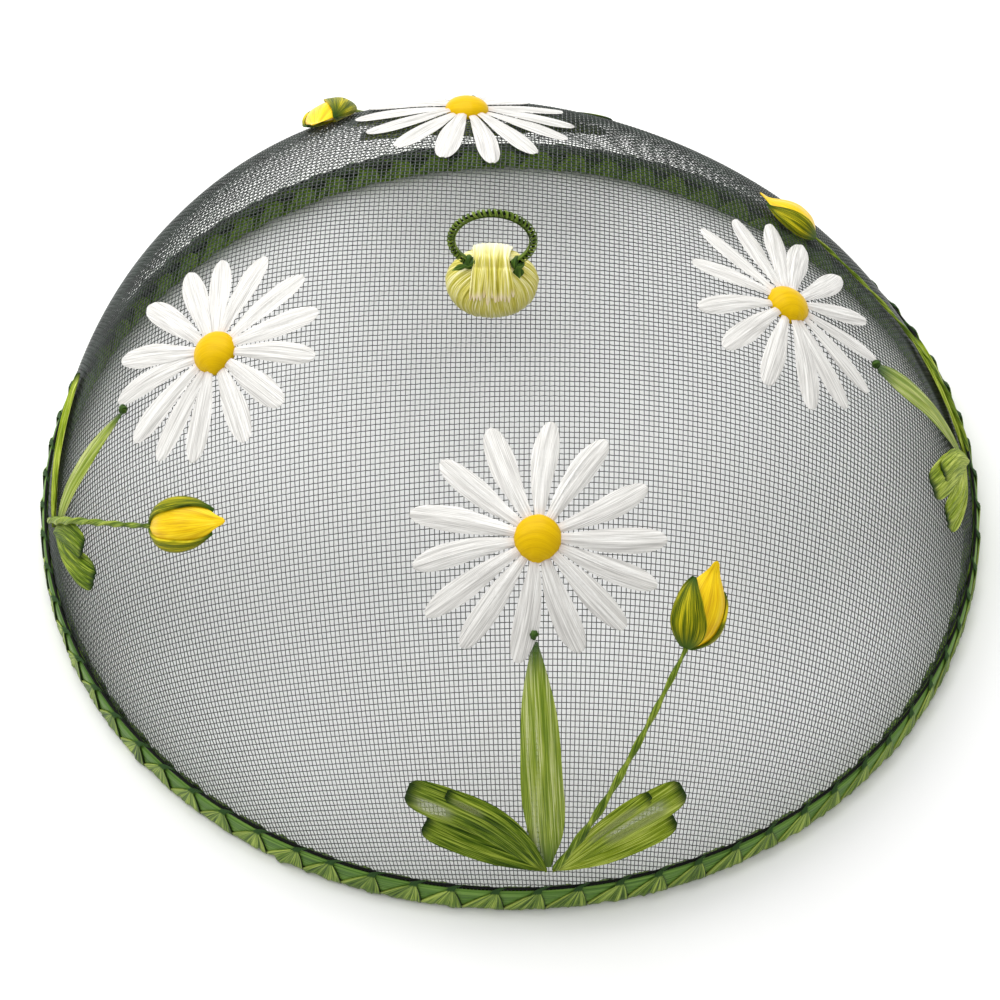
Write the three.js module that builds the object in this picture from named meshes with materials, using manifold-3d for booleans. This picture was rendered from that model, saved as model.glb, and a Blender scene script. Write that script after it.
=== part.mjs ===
// A domed food cover: a woven wire net on a raffia-lashed rim, with four daisies and a swinging ring handle.
// Millimetres, +Z up. The origin is the middle of the rim's underside, and the front daisy faces -Y.
import * as THREE from 'three';
import { mergeVertices } from 'three/addons/utils/BufferGeometryUtils.js';
import Module from 'manifold-3d';

const wasm = await Module();
wasm.setup();

// Driving dimensions
const rimRadius = 178;
const crownHeight = 121.5;
const rimHeight = 11;
const seatGap = 0.3;

// Rim: from outside to inside the lashing, outer hoop, net, inner hoop and lashing again
const lashingThickness = 0.8;
const lashingFoldHeight = 2.4;
const hoopThickness = 1.9;
const skirtThickness = 0.8;
const fanCount = 76;
const fanPeakShare = 0.62;
const wrapPeakShare = 0.3;
const edgeWireRadius = 0.7;
const edgeWireSides = 4;

const hoopFoot = lashingThickness + seatGap;
const outerHoopOuter = rimRadius - lashingThickness - seatGap;
const outerHoopInner = outerHoopOuter - hoopThickness;
const netRadius = outerHoopInner - seatGap - skirtThickness / 2;
const innerHoopOuter = netRadius - skirtThickness / 2 - seatGap;
const innerHoopInner = innerHoopOuter - hoopThickness;
const lashingInner = innerHoopInner - seatGap - lashingThickness;

// Net: a flat sheet of wires, formed over the dome. It is a little skewed and leans to the left.
const domeRise = crownHeight - rimHeight;
const profilePower = 2.96;
const profileRoot = 0.745;
const skewHeight = 6.7;
const leanOffset = 8;
const leanPower = 0.8;
const meshPitch = 27;
const wireWidth = 1.6;
const wireThickness = 0.7;
const hemWidth = 5;
const hemThickness = 1.3;
const hemLap = 1.4;

// Petals
const petalCount = 14;
const petalReach = 42;
const petalHalfWidth = 4.3;
const petalRise = 0.9;
const petalReachShares = [0.16, 0.36, 0.62, 0.87, 1];
const petalWidthShares = [0.42, 0.68, 1, 0.72, 0.12];
const petalRiseShares = [0.8, 1, 1, 0.8, 0.4];
const hubRadius = 9;
const hubThickness = 1.2;
const hubShoulderShare = 0.75;
const centreRadius = 8.2;
const centreRise = 5.2;

// Leaves, measured along the net
const leafSeatGap = 0.2;
const leafKeel = 0.3;
const leafRise = 0.5;
const tallLeafHalfWidth = 7.3;
const bladeEndShare = 0.95;
const tipKnotRadius = 1.7;
const tipKnotPlaceShares = [0.97, 0.985, 1];
const tipKnotSizeShares = [0.95, 1, 0.5];
const leafTipShare = 0.985;
const leafBellyPower = 0.9;
const leafFullnessPower = 0.7;
const upperLeafLength = 57;
const upperLeafHalfWidth = 6.6;
const upperLeafTurn = 57;
const lowerLeafLength = 47;
const lowerLeafHalfWidth = 6.2;
const lowerLeafTurn = 71;
const leafRootHalfWidth = 1.2;
const leafRootOffset = 5;
const leafFootRise = 8;

// Buds and their stems
const stemRadius = 1.1;
const stemRootOffset = 15;
const stemRootShare = 0.6;
const stemFallShares = [0.35, 0.7];
const stemClimbShares = [0.85, 1];
const budLength = 33;
const budHalfWidth = 9.3;
const budHalfDepth = 6;
const budReach = 137.5;
const budTilt = 50;
const budFootRadius = 1.9;
const budTipShare = 0.15;
const budShares = [0, 0.12, 0.28, 0.46, 0.66, 0.86];
const budSwellShares = [0.24, 0.64, 0.94, 1, 0.76, 0.34];
const budSides = 8;
const sepalThickness = 0.9;

// Knob and its tie
const knobHalfWidth = 16.5;
const knobHalfDepth = 13.5;
const knobHalfHeight = 11.5;
const knobFootDrop = 9.5;
const knobTopShare = 0.94;
const knobPleatShare = 0.03;
const knobPleats = 14;
const strapHalfWidth = 5.8;
const strapThickness = 0.8;
const strapEase = 0.5;
const strapFromTurn = -48;
const strapToTurn = 150;
const tieRadius = 0.8;
const tieReach = 3.2;
const tieDepth = 4;
const tieDrop = 1.6;

// Ring handle: a wire ring whose lower chord is the pin that it swings on
const ringRadius = 14.5;
const ringWireRadius = 0.5;
const pinHalfLength = 9;
const pinSink = 0.5;
const knotRadius = 2.4;
const knotWidth = 2.4;
const knotInsetShare = 0.6;
const knotFlatShare = 0.5;
const knotShoulderShare = 0.7;
const windingLoops = 20;
const windingSteps = 8;
const ribbonHalfWidth = 0.9;
const ribbonHalfThickness = 0.35;
const windingSetback = 2.4;

// Places of the four clusters, in degrees about Z from +X
const clusters = [
  {
    name: 'front', leafTurn: 275.5, budTurn: 298.5,
    tallTurn: 277, tallReach: 123, flowerTurn: 280, flowerReach: 96.5,
  },
  {
    name: 'left', leafTurn: 192, budTurn: 208.5,
    tallTurn: 188, tallReach: 134, flowerTurn: 187.5, flowerReach: 99,
  },
  {
    name: 'right', leafTurn: 3.5, budTurn: 32,
    tallTurn: 3.5, tallReach: 136, flowerTurn: 9, flowerReach: 106,
  },
  {
    name: 'back', leafTurn: 94, budTurn: 116.5,
    tallTurn: 95, tallReach: 137, flowerTurn: 96.5, flowerReach: 107.5,
  },
];

// Colours and finishes
const finish = (color, roughness, metalness = 0) =>
  new THREE.MeshStandardMaterial({ color, roughness, metalness });
const netFinish = finish(0x3a3f3c, 0.5, 0.6);
const blackFinish = finish(0x15170f, 0.6);
const lightGreenFinish = finish(0x8fb552, 0.7);
const greenFinish = finish(0x5d8a2a, 0.7);
const darkGreenFinish = finish(0x3c5c1c, 0.7);
const whiteFinish = finish(0xf3f2ee, 0.6);
const yellowFinish = finish(0xf0c012, 0.55);
const limeFinish = finish(0xd9dd78, 0.55);

const cover = new THREE.Group();
const radians = THREE.MathUtils.degToRad;
const tau = Math.PI * 2;

function addPart(name, geometry, material) {
  const mesh = new THREE.Mesh(geometry, material);
  mesh.name = name;
  cover.add(mesh);
}

// Closed surfaces from rings of points

function geometryFrom(points, index) {
  const geometry = new THREE.BufferGeometry();
  geometry.setAttribute('position', new THREE.Float32BufferAttribute(points.flatMap((p) => p.toArray()), 3));
  geometry.setIndex(signedVolume(points, index) < 0 ? index.reverse() : index);
  geometry.computeVertexNormals();
  return geometry;
}

function signedVolume(points, index) {
  let sum = 0;
  for (let i = 0; i < index.length; i += 3) {
    const [a, b, c] = [points[index[i]], points[index[i + 1]], points[index[i + 2]]];
    sum += a.dot(b.clone().cross(c));
  }
  return sum;
}

function skin(rings, looped) {
  const sides = rings[0].length;
  const index = [];
  const spans = looped ? rings.length : rings.length - 1;
  for (let i = 0; i < spans; i += 1) {
    for (let j = 0; j < sides; j += 1) {
      const a = i * sides + j;
      const b = i * sides + (j + 1) % sides;
      const next = ((i + 1) % rings.length) * sides;
      const c = next + (j + 1) % sides;
      const d = next + j;
      index.push(a, b, c, a, c, d);
    }
  }
  return index;
}

function loft(rings) {
  const sides = rings[0].length;
  const index = skin(rings, false);
  const last = (rings.length - 1) * sides;
  for (let j = 1; j < sides - 1; j += 1) {
    index.push(0, j + 1, j);
    index.push(last, last + j, last + j + 1);
  }
  return geometryFrom(rings.flat(), index);
}

const loop = (rings) => geometryFrom(rings.flat(), skin(rings, true));

function toManifold(geometry) {
  const bare = geometry.clone();
  bare.deleteAttribute('normal');
  bare.deleteAttribute('uv');
  const merged = mergeVertices(bare);
  return new wasm.Manifold(new wasm.Mesh({
    numProp: 3,
    vertProperties: new Float32Array(merged.attributes.position.array),
    triVerts: new Uint32Array(merged.index.array),
  }));
}

function fromManifold(solid) {
  const mesh = solid.getMesh();
  const geometry = new THREE.BufferGeometry();
  geometry.setAttribute('position', new THREE.BufferAttribute(new Float32Array(mesh.vertProperties), 3));
  geometry.setIndex(Array.from(mesh.triVerts));
  geometry.computeVertexNormals();
  return geometry;
}

// The dome's middle surface, by its distance from the Z axis and its angle about it

const meridianHeight = (share) => rimHeight + domeRise * (1 - share ** profilePower) ** profileRoot;

function domeHeight(share, angle) {
  const belly = 4 * share ** 2 * (1 - share ** 2);
  return meridianHeight(share) - skewHeight * Math.sin(2 * angle) * belly;
}

const leanAt = (height) => leanOffset * ((height - rimHeight) / domeRise) ** leanPower;

function domePoint(share, angle) {
  const height = domeHeight(share, angle);
  const reach = share * netRadius;
  return new THREE.Vector3(reach * Math.cos(angle) - leanAt(height), reach * Math.sin(angle), height);
}

function domeNormal(share, angle) {
  const stepShare = 1e-3;
  const sweep = Math.asin(Math.min(share, Math.sin(Math.PI / 2 - 2 * stepShare)));
  const at = (u, v) => domePoint(Math.sin(Math.hypot(u, v)), Math.atan2(v, u));
  const u = sweep * Math.cos(angle);
  const v = sweep * Math.sin(angle);
  const alongU = at(u + stepShare, v).sub(at(u - stepShare, v));
  const alongV = at(u, v + stepShare).sub(at(u, v - stepShare));
  return alongU.cross(alongV).normalize();
}

function onNet(reach, angle, lift) {
  const share = Math.min(reach / netRadius, 1);
  return domePoint(share, angle).addScaledVector(domeNormal(share, angle), lift);
}

const settleRounds = 12;

function heightAt(x, y) {
  let height = crownHeight;
  for (let i = 0; i < settleRounds; i += 1) {
    const unleaned = x + leanAt(height);
    const share = Math.min(Math.hypot(unleaned, y) / netRadius, 1);
    height = domeHeight(share, Math.atan2(y, unleaned));
  }
  return height;
}

function settle(point, direction) {
  for (let i = 0; i < settleRounds; i += 1) {
    const drop = point.z - heightAt(point.x, point.y);
    point.addScaledVector(direction, -drop * direction.z);
  }
  return point;
}

// The flat sheet that the net was formed from: arc lengths from the crown

const meridianSteps = 400;
const meridian = Array.from({ length: meridianSteps + 1 }, (_, i) => {
  const share = Math.sin(Math.PI / 2 * i / meridianSteps);
  return { reach: share * netRadius, height: meridianHeight(share), arc: 0 };
});
for (let i = 1; i <= meridianSteps; i += 1) {
  const [before, here] = [meridian[i - 1], meridian[i]];
  here.arc = before.arc + Math.hypot(here.reach - before.reach, here.height - before.height);
}
const sheetRadius = meridian[meridianSteps].arc;

function reachAtArc(arc) {
  const i = Math.max(1, meridian.findIndex((row) => row.arc >= Math.min(arc, sheetRadius)));
  const [before, here] = [meridian[i - 1], meridian[i]];
  const share = (Math.min(arc, sheetRadius) - before.arc) / (here.arc - before.arc);
  return before.reach + share * (here.reach - before.reach);
}

function arcAtReach(reach) {
  const i = Math.max(1, meridian.findIndex((row) => row.reach >= reach));
  const [before, here] = [meridian[i - 1], meridian[i]];
  const share = (reach - before.reach) / (here.reach - before.reach);
  return before.arc + share * (here.arc - before.arc);
}

const sheetPoint = (u, v, lift) => onNet(reachAtArc(Math.hypot(u, v)), Math.atan2(v, u), lift);

// Net: wires of the flat sheet, laid over the dome, and the hem that the hoops hold

function netWires() {
  const halfWidth = wireWidth / 2;
  const halfThickness = wireThickness / 2;
  const openRadius = sheetRadius - hemWidth;
  const endRadius = openRadius + hemLap;
  const lines = Math.floor(openRadius / meshPitch);
  const inside = (i, j) => Math.hypot(i, j) * meshPitch < openRadius - hemWidth;
  const points = [];
  const index = [];
  const known = new Map();
  const corner = (u, v, side) => {
    const key = `${u.toFixed(4)} ${v.toFixed(4)} ${side}`;
    if (!known.has(key)) {
      known.set(key, points.length);
      points.push(sheetPoint(u, v, side * halfThickness));
    }
    return known.get(key);
  };
  const quad = (a, b, c, d) => index.push(a, b, c, a, c, d);
  const wall = (from, to) => {
    quad(corner(...from, -1), corner(...to, -1), corner(...to, 1), corner(...from, 1));
  };
  const patch = (corners, walls) => {
    quad(...corners.map((p) => corner(...p, 1)));
    quad(...corners.map((p) => corner(...p, -1)).reverse());
    walls.forEach((k) => wall(corners[k], corners[(k + 1) % 4]));
  };
  // A stretch of wire leaves crossing (i, j) towards (di, dj), as far as the next one or the hem.
  const stretch = (i, j, di, dj) => {
    const place = (along, across) => {
      const u = i * meshPitch + along * di - across * dj;
      const v = j * meshPitch + along * dj + across * di;
      return [u, v];
    };
    const start = [place(halfWidth, -halfWidth), place(halfWidth, halfWidth)];
    if (inside(i + di, j + dj)) {
      const far = meshPitch - halfWidth;
      patch([start[0], place(far, -halfWidth), place(far, halfWidth), start[1]], [0, 2]);
      return;
    }
    const ends = [-halfWidth, halfWidth].map((across) => {
      const [u, v] = place(0, across);
      const level = Math.abs(u * dj) + Math.abs(v * di);
      const begun = u * di + v * dj;
      return place(Math.sqrt(endRadius ** 2 - level ** 2) - begun, across);
    });
    patch([start[0], ends[0], ends[1], start[1]], [0, 1, 2]);
  };
  for (let i = -lines; i <= lines; i += 1) {
    for (let j = -lines; j <= lines; j += 1) {
      if (!inside(i, j)) continue;
      const [u, v] = [i * meshPitch, j * meshPitch];
      patch([
        [u - halfWidth, v - halfWidth], [u + halfWidth, v - halfWidth],
        [u + halfWidth, v + halfWidth], [u - halfWidth, v + halfWidth],
      ], []);
      stretch(i, j, 1, 0);
      stretch(i, j, 0, 1);
      if (!inside(i - 1, j)) stretch(i, j, -1, 0);
      if (!inside(i, j - 1)) stretch(i, j, 0, -1);
    }
  }
  return geometryFrom(points, index);
}

function ringAt(count, section) {
  return loop(Array.from({ length: count }, (_, i) => section(tau * i / count, i)));
}

const polar = (radius, angle, height) =>
  new THREE.Vector3(radius * Math.cos(angle), radius * Math.sin(angle), height);

function netHem() {
  const half = skirtThickness / 2;
  const hemReach = reachAtArc(sheetRadius - hemWidth);
  return ringAt(fanCount, (angle) => [
    onNet(hemReach, angle, hemThickness / 2),
    polar(netRadius + half, angle, rimHeight),
    polar(netRadius + half, angle, hoopFoot),
    polar(netRadius - half, angle, hoopFoot),
    polar(netRadius - half, angle, rimHeight),
    onNet(hemReach, angle, -hemThickness / 2),
  ]);
}

addPart('mesh_dome', fromManifold(toManifold(netWires()).add(toManifold(netHem()))), netFinish);

// Rim hoops, the wire on their edge, and the lashing that holds them

function hoop(outer, inner) {
  return ringAt(fanCount, (angle) => [
    polar(outer, angle, hoopFoot),
    polar(outer, angle, rimHeight),
    polar(inner, angle, rimHeight),
    polar(inner, angle, hoopFoot),
  ]);
}

function edgeWire() {
  const centreRadius = outerHoopInner + edgeWireRadius;
  const centreHeight = rimHeight + seatGap + edgeWireRadius;
  return ringAt(fanCount, (angle) => Array.from({ length: edgeWireSides }, (_, k) => {
    const around = tau * k / edgeWireSides;
    return polar(
      centreRadius + edgeWireRadius * Math.cos(around), angle,
      centreHeight + edgeWireRadius * Math.sin(around),
    );
  }));
}

// A channel of raffia under both hoops. Each fan rises outside and each wrap rises inside.
function lashing() {
  const top = rimHeight - seatGap;
  const columns = Array.from({ length: fanCount * 2 }, (_, i) => {
    const fan = Math.floor(i / 2);
    const peak = i % 2 === 1;
    const outerAngle = tau * (fan + (peak ? fanPeakShare : 0)) / fanCount;
    const innerAngle = tau * (fan + (peak ? wrapPeakShare : 0)) / fanCount;
    const height = peak ? top : lashingFoldHeight;
    return [
      polar(rimRadius, outerAngle, 0),
      polar(rimRadius, outerAngle, height),
      polar(rimRadius - lashingThickness, outerAngle, height),
      polar(rimRadius - lashingThickness, outerAngle, lashingThickness),
      polar(lashingInner + lashingThickness, innerAngle, lashingThickness),
      polar(lashingInner + lashingThickness, innerAngle, height),
      polar(lashingInner, innerAngle, height),
      polar(lashingInner, innerAngle, 0),
    ];
  });
  return loop(columns);
}

addPart('outer_hoop', hoop(outerHoopOuter, outerHoopInner), lightGreenFinish);
addPart('inner_hoop', hoop(innerHoopOuter, innerHoopInner), darkGreenFinish);
addPart('edge_wire', edgeWire(), blackFinish);
addPart('rim_lashing', lashing(), greenFinish);

// Daisies

const netTop = wireThickness / 2;
const lowerLeafLift = netTop + leafSeatGap + leafKeel;
const upperLeafLift = lowerLeafLift + leafRise + seatGap + leafKeel;
const petalLift = netTop + seatGap;

// The flat frame of a flower: x across, y towards the crown, z away from the net.
function flowerFrame(reach, angle) {
  const origin = onNet(reach, angle, 0);
  const normal = domeNormal(reach / netRadius, angle);
  const across = new THREE.Vector3(0, 0, 1).cross(normal).normalize();
  const towards = normal.clone().cross(across);
  return { origin, normal, across, towards };
}

function drape(geometry, frame, lift) {
  const position = geometry.attributes.position;
  for (let i = 0; i < position.count; i += 1) {
    const point = frame.origin.clone()
      .addScaledVector(frame.across, position.getX(i))
      .addScaledVector(frame.towards, position.getY(i));
    settle(point, frame.normal).addScaledVector(frame.normal, position.getZ(i) + lift);
    position.setXYZ(i, point.x, point.y, point.z);
  }
  geometry.computeVertexNormals();
  return geometry;
}

function petal(turn) {
  const away = new THREE.Vector3(0, 0, 1);
  return loft(petalReachShares.map((reachShare, i) => {
    const half = petalHalfWidth * petalWidthShares[i];
    const rise = petalRise * petalRiseShares[i];
    const y = petalReach * reachShare;
    const section = [[-half, 0], [half, 0], [0, rise]];
    return section.map(([x, z]) => new THREE.Vector3(x, y, z).applyAxisAngle(away, turn));
  }));
}

// The rosette is turned so that the tall leaf's tip lies between two petals.
function rosette(frame, gapTurn) {
  const rim = (radius, z) => Array.from({ length: petalCount }, (_, k) =>
    polar(radius, tau * k / petalCount + gapTurn + Math.PI / 2, z));
  const shoulder = hubThickness * hubShoulderShare;
  const hub = loft([rim(hubRadius, 0), rim(hubRadius, shoulder), rim(hubRadius / 2, hubThickness)]);
  const solid = Array.from({ length: petalCount }, (_, k) => petal(gapTurn + tau * (k + 0.5) / petalCount))
    .reduce((whole, geometry) => whole.add(toManifold(geometry)), toManifold(hub));
  return drape(fromManifold(solid), frame, petalLift);
}

function flowerCentre(frame) {
  const foot = petalLift + hubThickness + seatGap;
  const rounds = 3;
  const profile = [new THREE.Vector2(0, 0)];
  for (let i = 0; i <= rounds; i += 1) {
    const angle = Math.PI / 2 * i / rounds;
    const radius = i < rounds ? centreRadius * Math.cos(angle) : 0;
    profile.push(new THREE.Vector2(radius, centreRise * Math.sin(angle)));
  }
  const geometry = new THREE.LatheGeometry(profile, petalCount);
  const seat = settle(frame.origin.clone(), frame.normal).addScaledVector(frame.normal, foot);
  const basis = new THREE.Matrix4().makeBasis(frame.across, frame.normal, frame.towards.clone().negate());
  geometry.applyMatrix4(basis.setPosition(seat));
  return geometry;
}

// A place on the net beside a cluster's foot: across and up along the net, then away from it.
function besideFoot(cluster, across, up, lift) {
  const reach = reachAtArc(sheetRadius - leafFootRise - up);
  return { reach, angle: radians(cluster.leafTurn) + across / reach, lift };
}

// Sections set square to a route on the net
function alongRoute(route, section) {
  const points = route.map(({ reach, angle, lift }) => onNet(reach, angle, lift));
  return loft(points.map((point, i) => {
    const before = points[Math.max(i - 1, 0)];
    const after = points[Math.min(i + 1, points.length - 1)];
    const tangent = after.clone().sub(before).normalize();
    const normal = domeNormal(route[i].reach / netRadius, route[i].angle);
    const side = tangent.clone().cross(normal).normalize();
    const up = side.clone().cross(tangent);
    return section(i).map(([x, z]) => point.clone().addScaledVector(side, x).addScaledVector(up, z));
  }));
}

const diamond = (half) => [[-half, 0], [0, -leafKeel], [half, 0], [0, leafRise]];

// Half width of a leaf at a share of its length, from its root
function leafHalfWidth(share, halfWidth) {
  const swell = Math.sin(Math.PI * Math.min(share, leafTipShare) ** leafBellyPower) ** leafFullnessPower;
  return leafRootHalfWidth * (1 - share) + (halfWidth - leafRootHalfWidth) * swell;
}

function leaf(cluster, turn, length, halfWidth, lift) {
  const steps = 7;
  const route = Array.from({ length: steps + 1 }, (_, i) => {
    const run = leafRootOffset + length * i / steps;
    return besideFoot(cluster, run * Math.sin(turn), run * Math.cos(turn), lift);
  });
  return alongRoute(route, (i) => diamond(Math.max(leafHalfWidth(i / steps, halfWidth), leafRise)));
}

// A place on the tall leaf, by its share of the leaf's length
function onTallLeaf(cluster, share, lift) {
  const lean = radians(cluster.tallTurn - cluster.leafTurn);
  const length = sheetRadius - leafFootRise - leafRootOffset - arcAtReach(cluster.tallReach);
  const spot = besideFoot(cluster, 0, leafRootOffset + length * share, lift);
  spot.angle += lean * share * cluster.tallReach / spot.reach;
  return spot;
}

// The tall leaf ends in a knot, wide as it is high.
function tallLeaf(cluster) {
  const steps = 8;
  const knotLift = netTop + seatGap + tipKnotRadius;
  const round = (radius) => [[-radius, 0], [0, -radius], [radius, 0], [0, radius]];
  const route = Array.from({ length: steps + 1 }, (_, i) =>
    onTallLeaf(cluster, bladeEndShare * i / steps, lowerLeafLift));
  const sections = route.map((_, i) => diamond(leafHalfWidth(i / steps, tallLeafHalfWidth)));
  tipKnotPlaceShares.forEach((placeShare, i) => {
    route.push(onTallLeaf(cluster, placeShare, knotLift));
    sections.push(round(tipKnotRadius * tipKnotSizeShares[i]));
  });
  return alongRoute(route, (i) => sections[i]);
}

// The bud's frame: x across, y from its foot to its tip, z away from the net
function budFrame(cluster) {
  const angle = radians(cluster.budTurn);
  const { origin, normal, across, towards } = flowerFrame(budReach, angle);
  const along = towards.clone().applyAxisAngle(normal, -radians(budTilt));
  const side = across.clone().applyAxisAngle(normal, -radians(budTilt));
  const lift = netTop + seatGap + budHalfDepth;
  return { origin: origin.addScaledVector(normal, lift), normal, side, along };
}

const budPlace = (frame, x, y, z) => frame.origin.clone()
  .addScaledVector(frame.side, x).addScaledVector(frame.along, y).addScaledVector(frame.normal, z);

// Half width and half depth of the bud at a station, set in from its outside
function budRadii(swellShare, inset) {
  return [budHalfWidth, budHalfDepth].map((half) => Math.max(half * swellShare, budFootRadius) - inset);
}

function budRing(frame, stations, i, inset) {
  const [half, depth] = budRadii(budSwellShares[i], inset);
  return stations.map((k) => {
    const around = tau * k / budSides;
    return budPlace(frame, half * Math.cos(around), budLength * budShares[i], depth * Math.sin(around));
  });
}

function budCore(frame) {
  const stations = Array.from({ length: budSides }, (_, k) => k);
  const rings = budShares.map((_, i) => budRing(frame, stations, i, sepalThickness + seatGap));
  const tipHalfWidth = budHalfWidth * budTipShare;
  rings.push(stations.map((k) => {
    const around = tau * k / budSides;
    return budPlace(frame, tipHalfWidth * Math.cos(around), budLength, leafRise * Math.sin(around));
  }));
  return loft(rings);
}

// A sepal is a shell round some of the core's sides.
function sepal(frame, first, last) {
  const stations = Array.from({ length: last - first + 1 }, (_, k) => first + k);
  return loft(budShares.map((_, i) => [
    ...budRing(frame, stations, i, 0),
    ...budRing(frame, stations, i, sepalThickness).reverse(),
  ]));
}

// The stem leaves the cluster's foot over the leaves and comes down to the net on its way to the bud.
function budStem(cluster) {
  const steps = 9;
  const highLift = upperLeafLift + leafRise + seatGap + stemRadius;
  const lowLift = netTop + seatGap + stemRadius;
  const budLift = netTop + seatGap + budHalfDepth;
  const start = besideFoot(cluster, 0, 0, 0);
  const rise = arcAtReach(start.reach) - arcAtReach(budReach);
  const sweep = radians(cluster.budTurn - cluster.leafTurn);
  const across = sweep * budReach;
  const run = Math.hypot(rise, across);
  const startShare = stemRootOffset / run;
  const endShare = 1 - (seatGap + stemRadius / 2) / run;
  const route = Array.from({ length: steps + 1 }, (_, i) => {
    const share = startShare + (endShare - startShare) * i / steps;
    const fall = THREE.MathUtils.smoothstep(share, ...stemFallShares);
    const climb = THREE.MathUtils.smoothstep(share, ...stemClimbShares);
    const lift = highLift + (lowLift - highLift) * fall + (budLift - lowLift) * climb;
    return besideFoot(cluster, across * share, rise * share, lift);
  });
  const sides = 5;
  return alongRoute(route, (i) => {
    const radius = stemRadius * (i === 0 ? stemRootShare : 1);
    return Array.from({ length: sides }, (_, k) => {
      const around = tau * k / sides;
      return [radius * Math.cos(around), radius * Math.sin(around)];
    });
  });
}

clusters.forEach((cluster) => {
  const part = (name, geometry, material) => addPart(`${cluster.name}_${name}`, geometry, material);
  const flower = flowerFrame(cluster.flowerReach, radians(cluster.flowerTurn));
  const bud = budFrame(cluster);
  const upperTurn = radians(upperLeafTurn);
  const lowerTurn = radians(lowerLeafTurn);
  const tip = onTallLeaf(cluster, 1, 0);
  const toTip = onNet(tip.reach, tip.angle, tip.lift).sub(flower.origin);
  const gapTurn = Math.atan2(-toTip.dot(flower.across), toTip.dot(flower.towards));
  part('petals', rosette(flower, gapTurn), whiteFinish);
  part('flower_centre', flowerCentre(flower), yellowFinish);
  part('tall_leaf', tallLeaf(cluster), greenFinish);
  [['left', -1], ['right', 1]].forEach(([side, sign]) => {
    part(`upper_leaf_${side}`,
      leaf(cluster, sign * upperTurn, upperLeafLength, upperLeafHalfWidth, upperLeafLift), greenFinish);
    part(`lower_leaf_${side}`,
      leaf(cluster, sign * lowerTurn, lowerLeafLength, lowerLeafHalfWidth, lowerLeafLift), greenFinish);
  });
  part('bud_stem', budStem(cluster), greenFinish);
  part('bud_core', budCore(bud), yellowFinish);
  part('bud_sepal_wide', sepal(bud, 2, 6), greenFinish);
  part('bud_sepal_narrow', sepal(bud, -1, 1), greenFinish);
});

// Knob: a squat ball of strands that sits on the crown, cut for the pin, the knots and the tie

const crownX = -leanOffset;
const knobFoot = crownHeight + netTop + seatGap;
const knobHeight = knobFoot + knobFootDrop;
const pinHeight = knobHeight + knobHalfHeight - pinSink;
const knotPlace = pinHalfLength - knotWidth * knotInsetShare;

function ballPoint(lon, lat, growth) {
  const ripple = 1 - knobPleatShare * (1 - Math.cos(knobPleats * lon)) / 2;
  const grown = [knobHalfWidth, knobHalfDepth, knobHalfHeight].map((half) => half + growth);
  return new THREE.Vector3(
    crownX + grown[0] * (growth ? 1 : ripple) * Math.cos(lon) * Math.cos(lat),
    grown[1] * (growth ? 1 : ripple) * Math.sin(lon) * Math.cos(lat),
    knobHeight + grown[2] * Math.sin(lat),
  );
}

function cylinderX(from, to, radius) {
  const geometry = new THREE.CylinderGeometry(radius, radius, to - from, 16);
  geometry.rotateZ(Math.PI / 2).translate(crownX + (from + to) / 2, 0, pinHeight);
  return toManifold(geometry);
}

function knobBody() {
  const around = knobPleats * 2;
  const footLat = -Math.asin(knobFootDrop / knobHalfHeight);
  const topLat = Math.PI / 2 * knobTopShare;
  const rounds = 8;
  const rings = Array.from({ length: rounds + 1 }, (_, i) => {
    const lat = footLat + (topLat - footLat) * i / rounds;
    return Array.from({ length: around }, (_, k) => ballPoint(tau * k / around, lat, 0));
  });
  const knotReach = knotRadius + seatGap;
  const knotFrom = knotPlace - knotWidth / 2 - seatGap;
  const knotTo = pinHalfLength + knotWidth / 2;
  let solid = toManifold(loft(rings))
    .subtract(cylinderX(-knobHalfWidth, knobHalfWidth, ringWireRadius + seatGap))
    .subtract(cylinderX(knotFrom, knotTo, knotReach))
    .subtract(cylinderX(-knotTo, -knotFrom, knotReach));
  [-1, 1].forEach((sign) => {
    const depth = tieDepth + 2 * seatGap;
    const socket = new THREE.CylinderGeometry(tieRadius + seatGap, tieRadius + seatGap, depth, 12);
    socket.rotateX(Math.PI / 2);
    socket.translate(crownX + sign * tieReach, sign * tieReach, knobFoot + depth / 2 - seatGap);
    solid = solid.subtract(toManifold(socket));
  });
  return fromManifold(solid);
}

// Strap: strands from the back of the ball, over the pin, to the foot of its front
function knobStrap() {
  const steps = 12;
  const shares = [-1, 0, 1];
  return loft(Array.from({ length: steps + 1 }, (_, i) => {
    const turn = radians(strapFromTurn + (strapToTurn - strapFromTurn) * i / steps);
    const at = (share, growth) => {
      const x = share * strapHalfWidth;
      const bulge = Math.sqrt(1 - (x / (knobHalfWidth + growth)) ** 2);
      return new THREE.Vector3(
        crownX + x,
        -(knobHalfDepth + growth) * bulge * Math.cos(turn),
        knobHeight + (knobHalfHeight + growth) * Math.sin(turn) * (Math.sin(turn) > 0 ? 1 : bulge),
      );
    };
    const inner = shares.map((share) => at(share, strapEase));
    const outer = shares.map((share) => at(share, strapEase + strapThickness));
    return [...inner, ...outer.reverse()];
  }));
}

// Open tube along a route of points, with a steady reference direction
function tube(points, radius, sides, reference) {
  return loft(points.map((point, i) => {
    const before = points[Math.max(i - 1, 0)];
    const after = points[Math.min(i + 1, points.length - 1)];
    const tangent = after.clone().sub(before).normalize();
    const side = tangent.clone().cross(reference).normalize();
    const up = side.clone().cross(tangent);
    return Array.from({ length: sides }, (_, k) => {
      const around = tau * k / sides;
      return point.clone().addScaledVector(side, radius * Math.cos(around))
        .addScaledVector(up, radius * Math.sin(around));
    });
  }));
}

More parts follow.
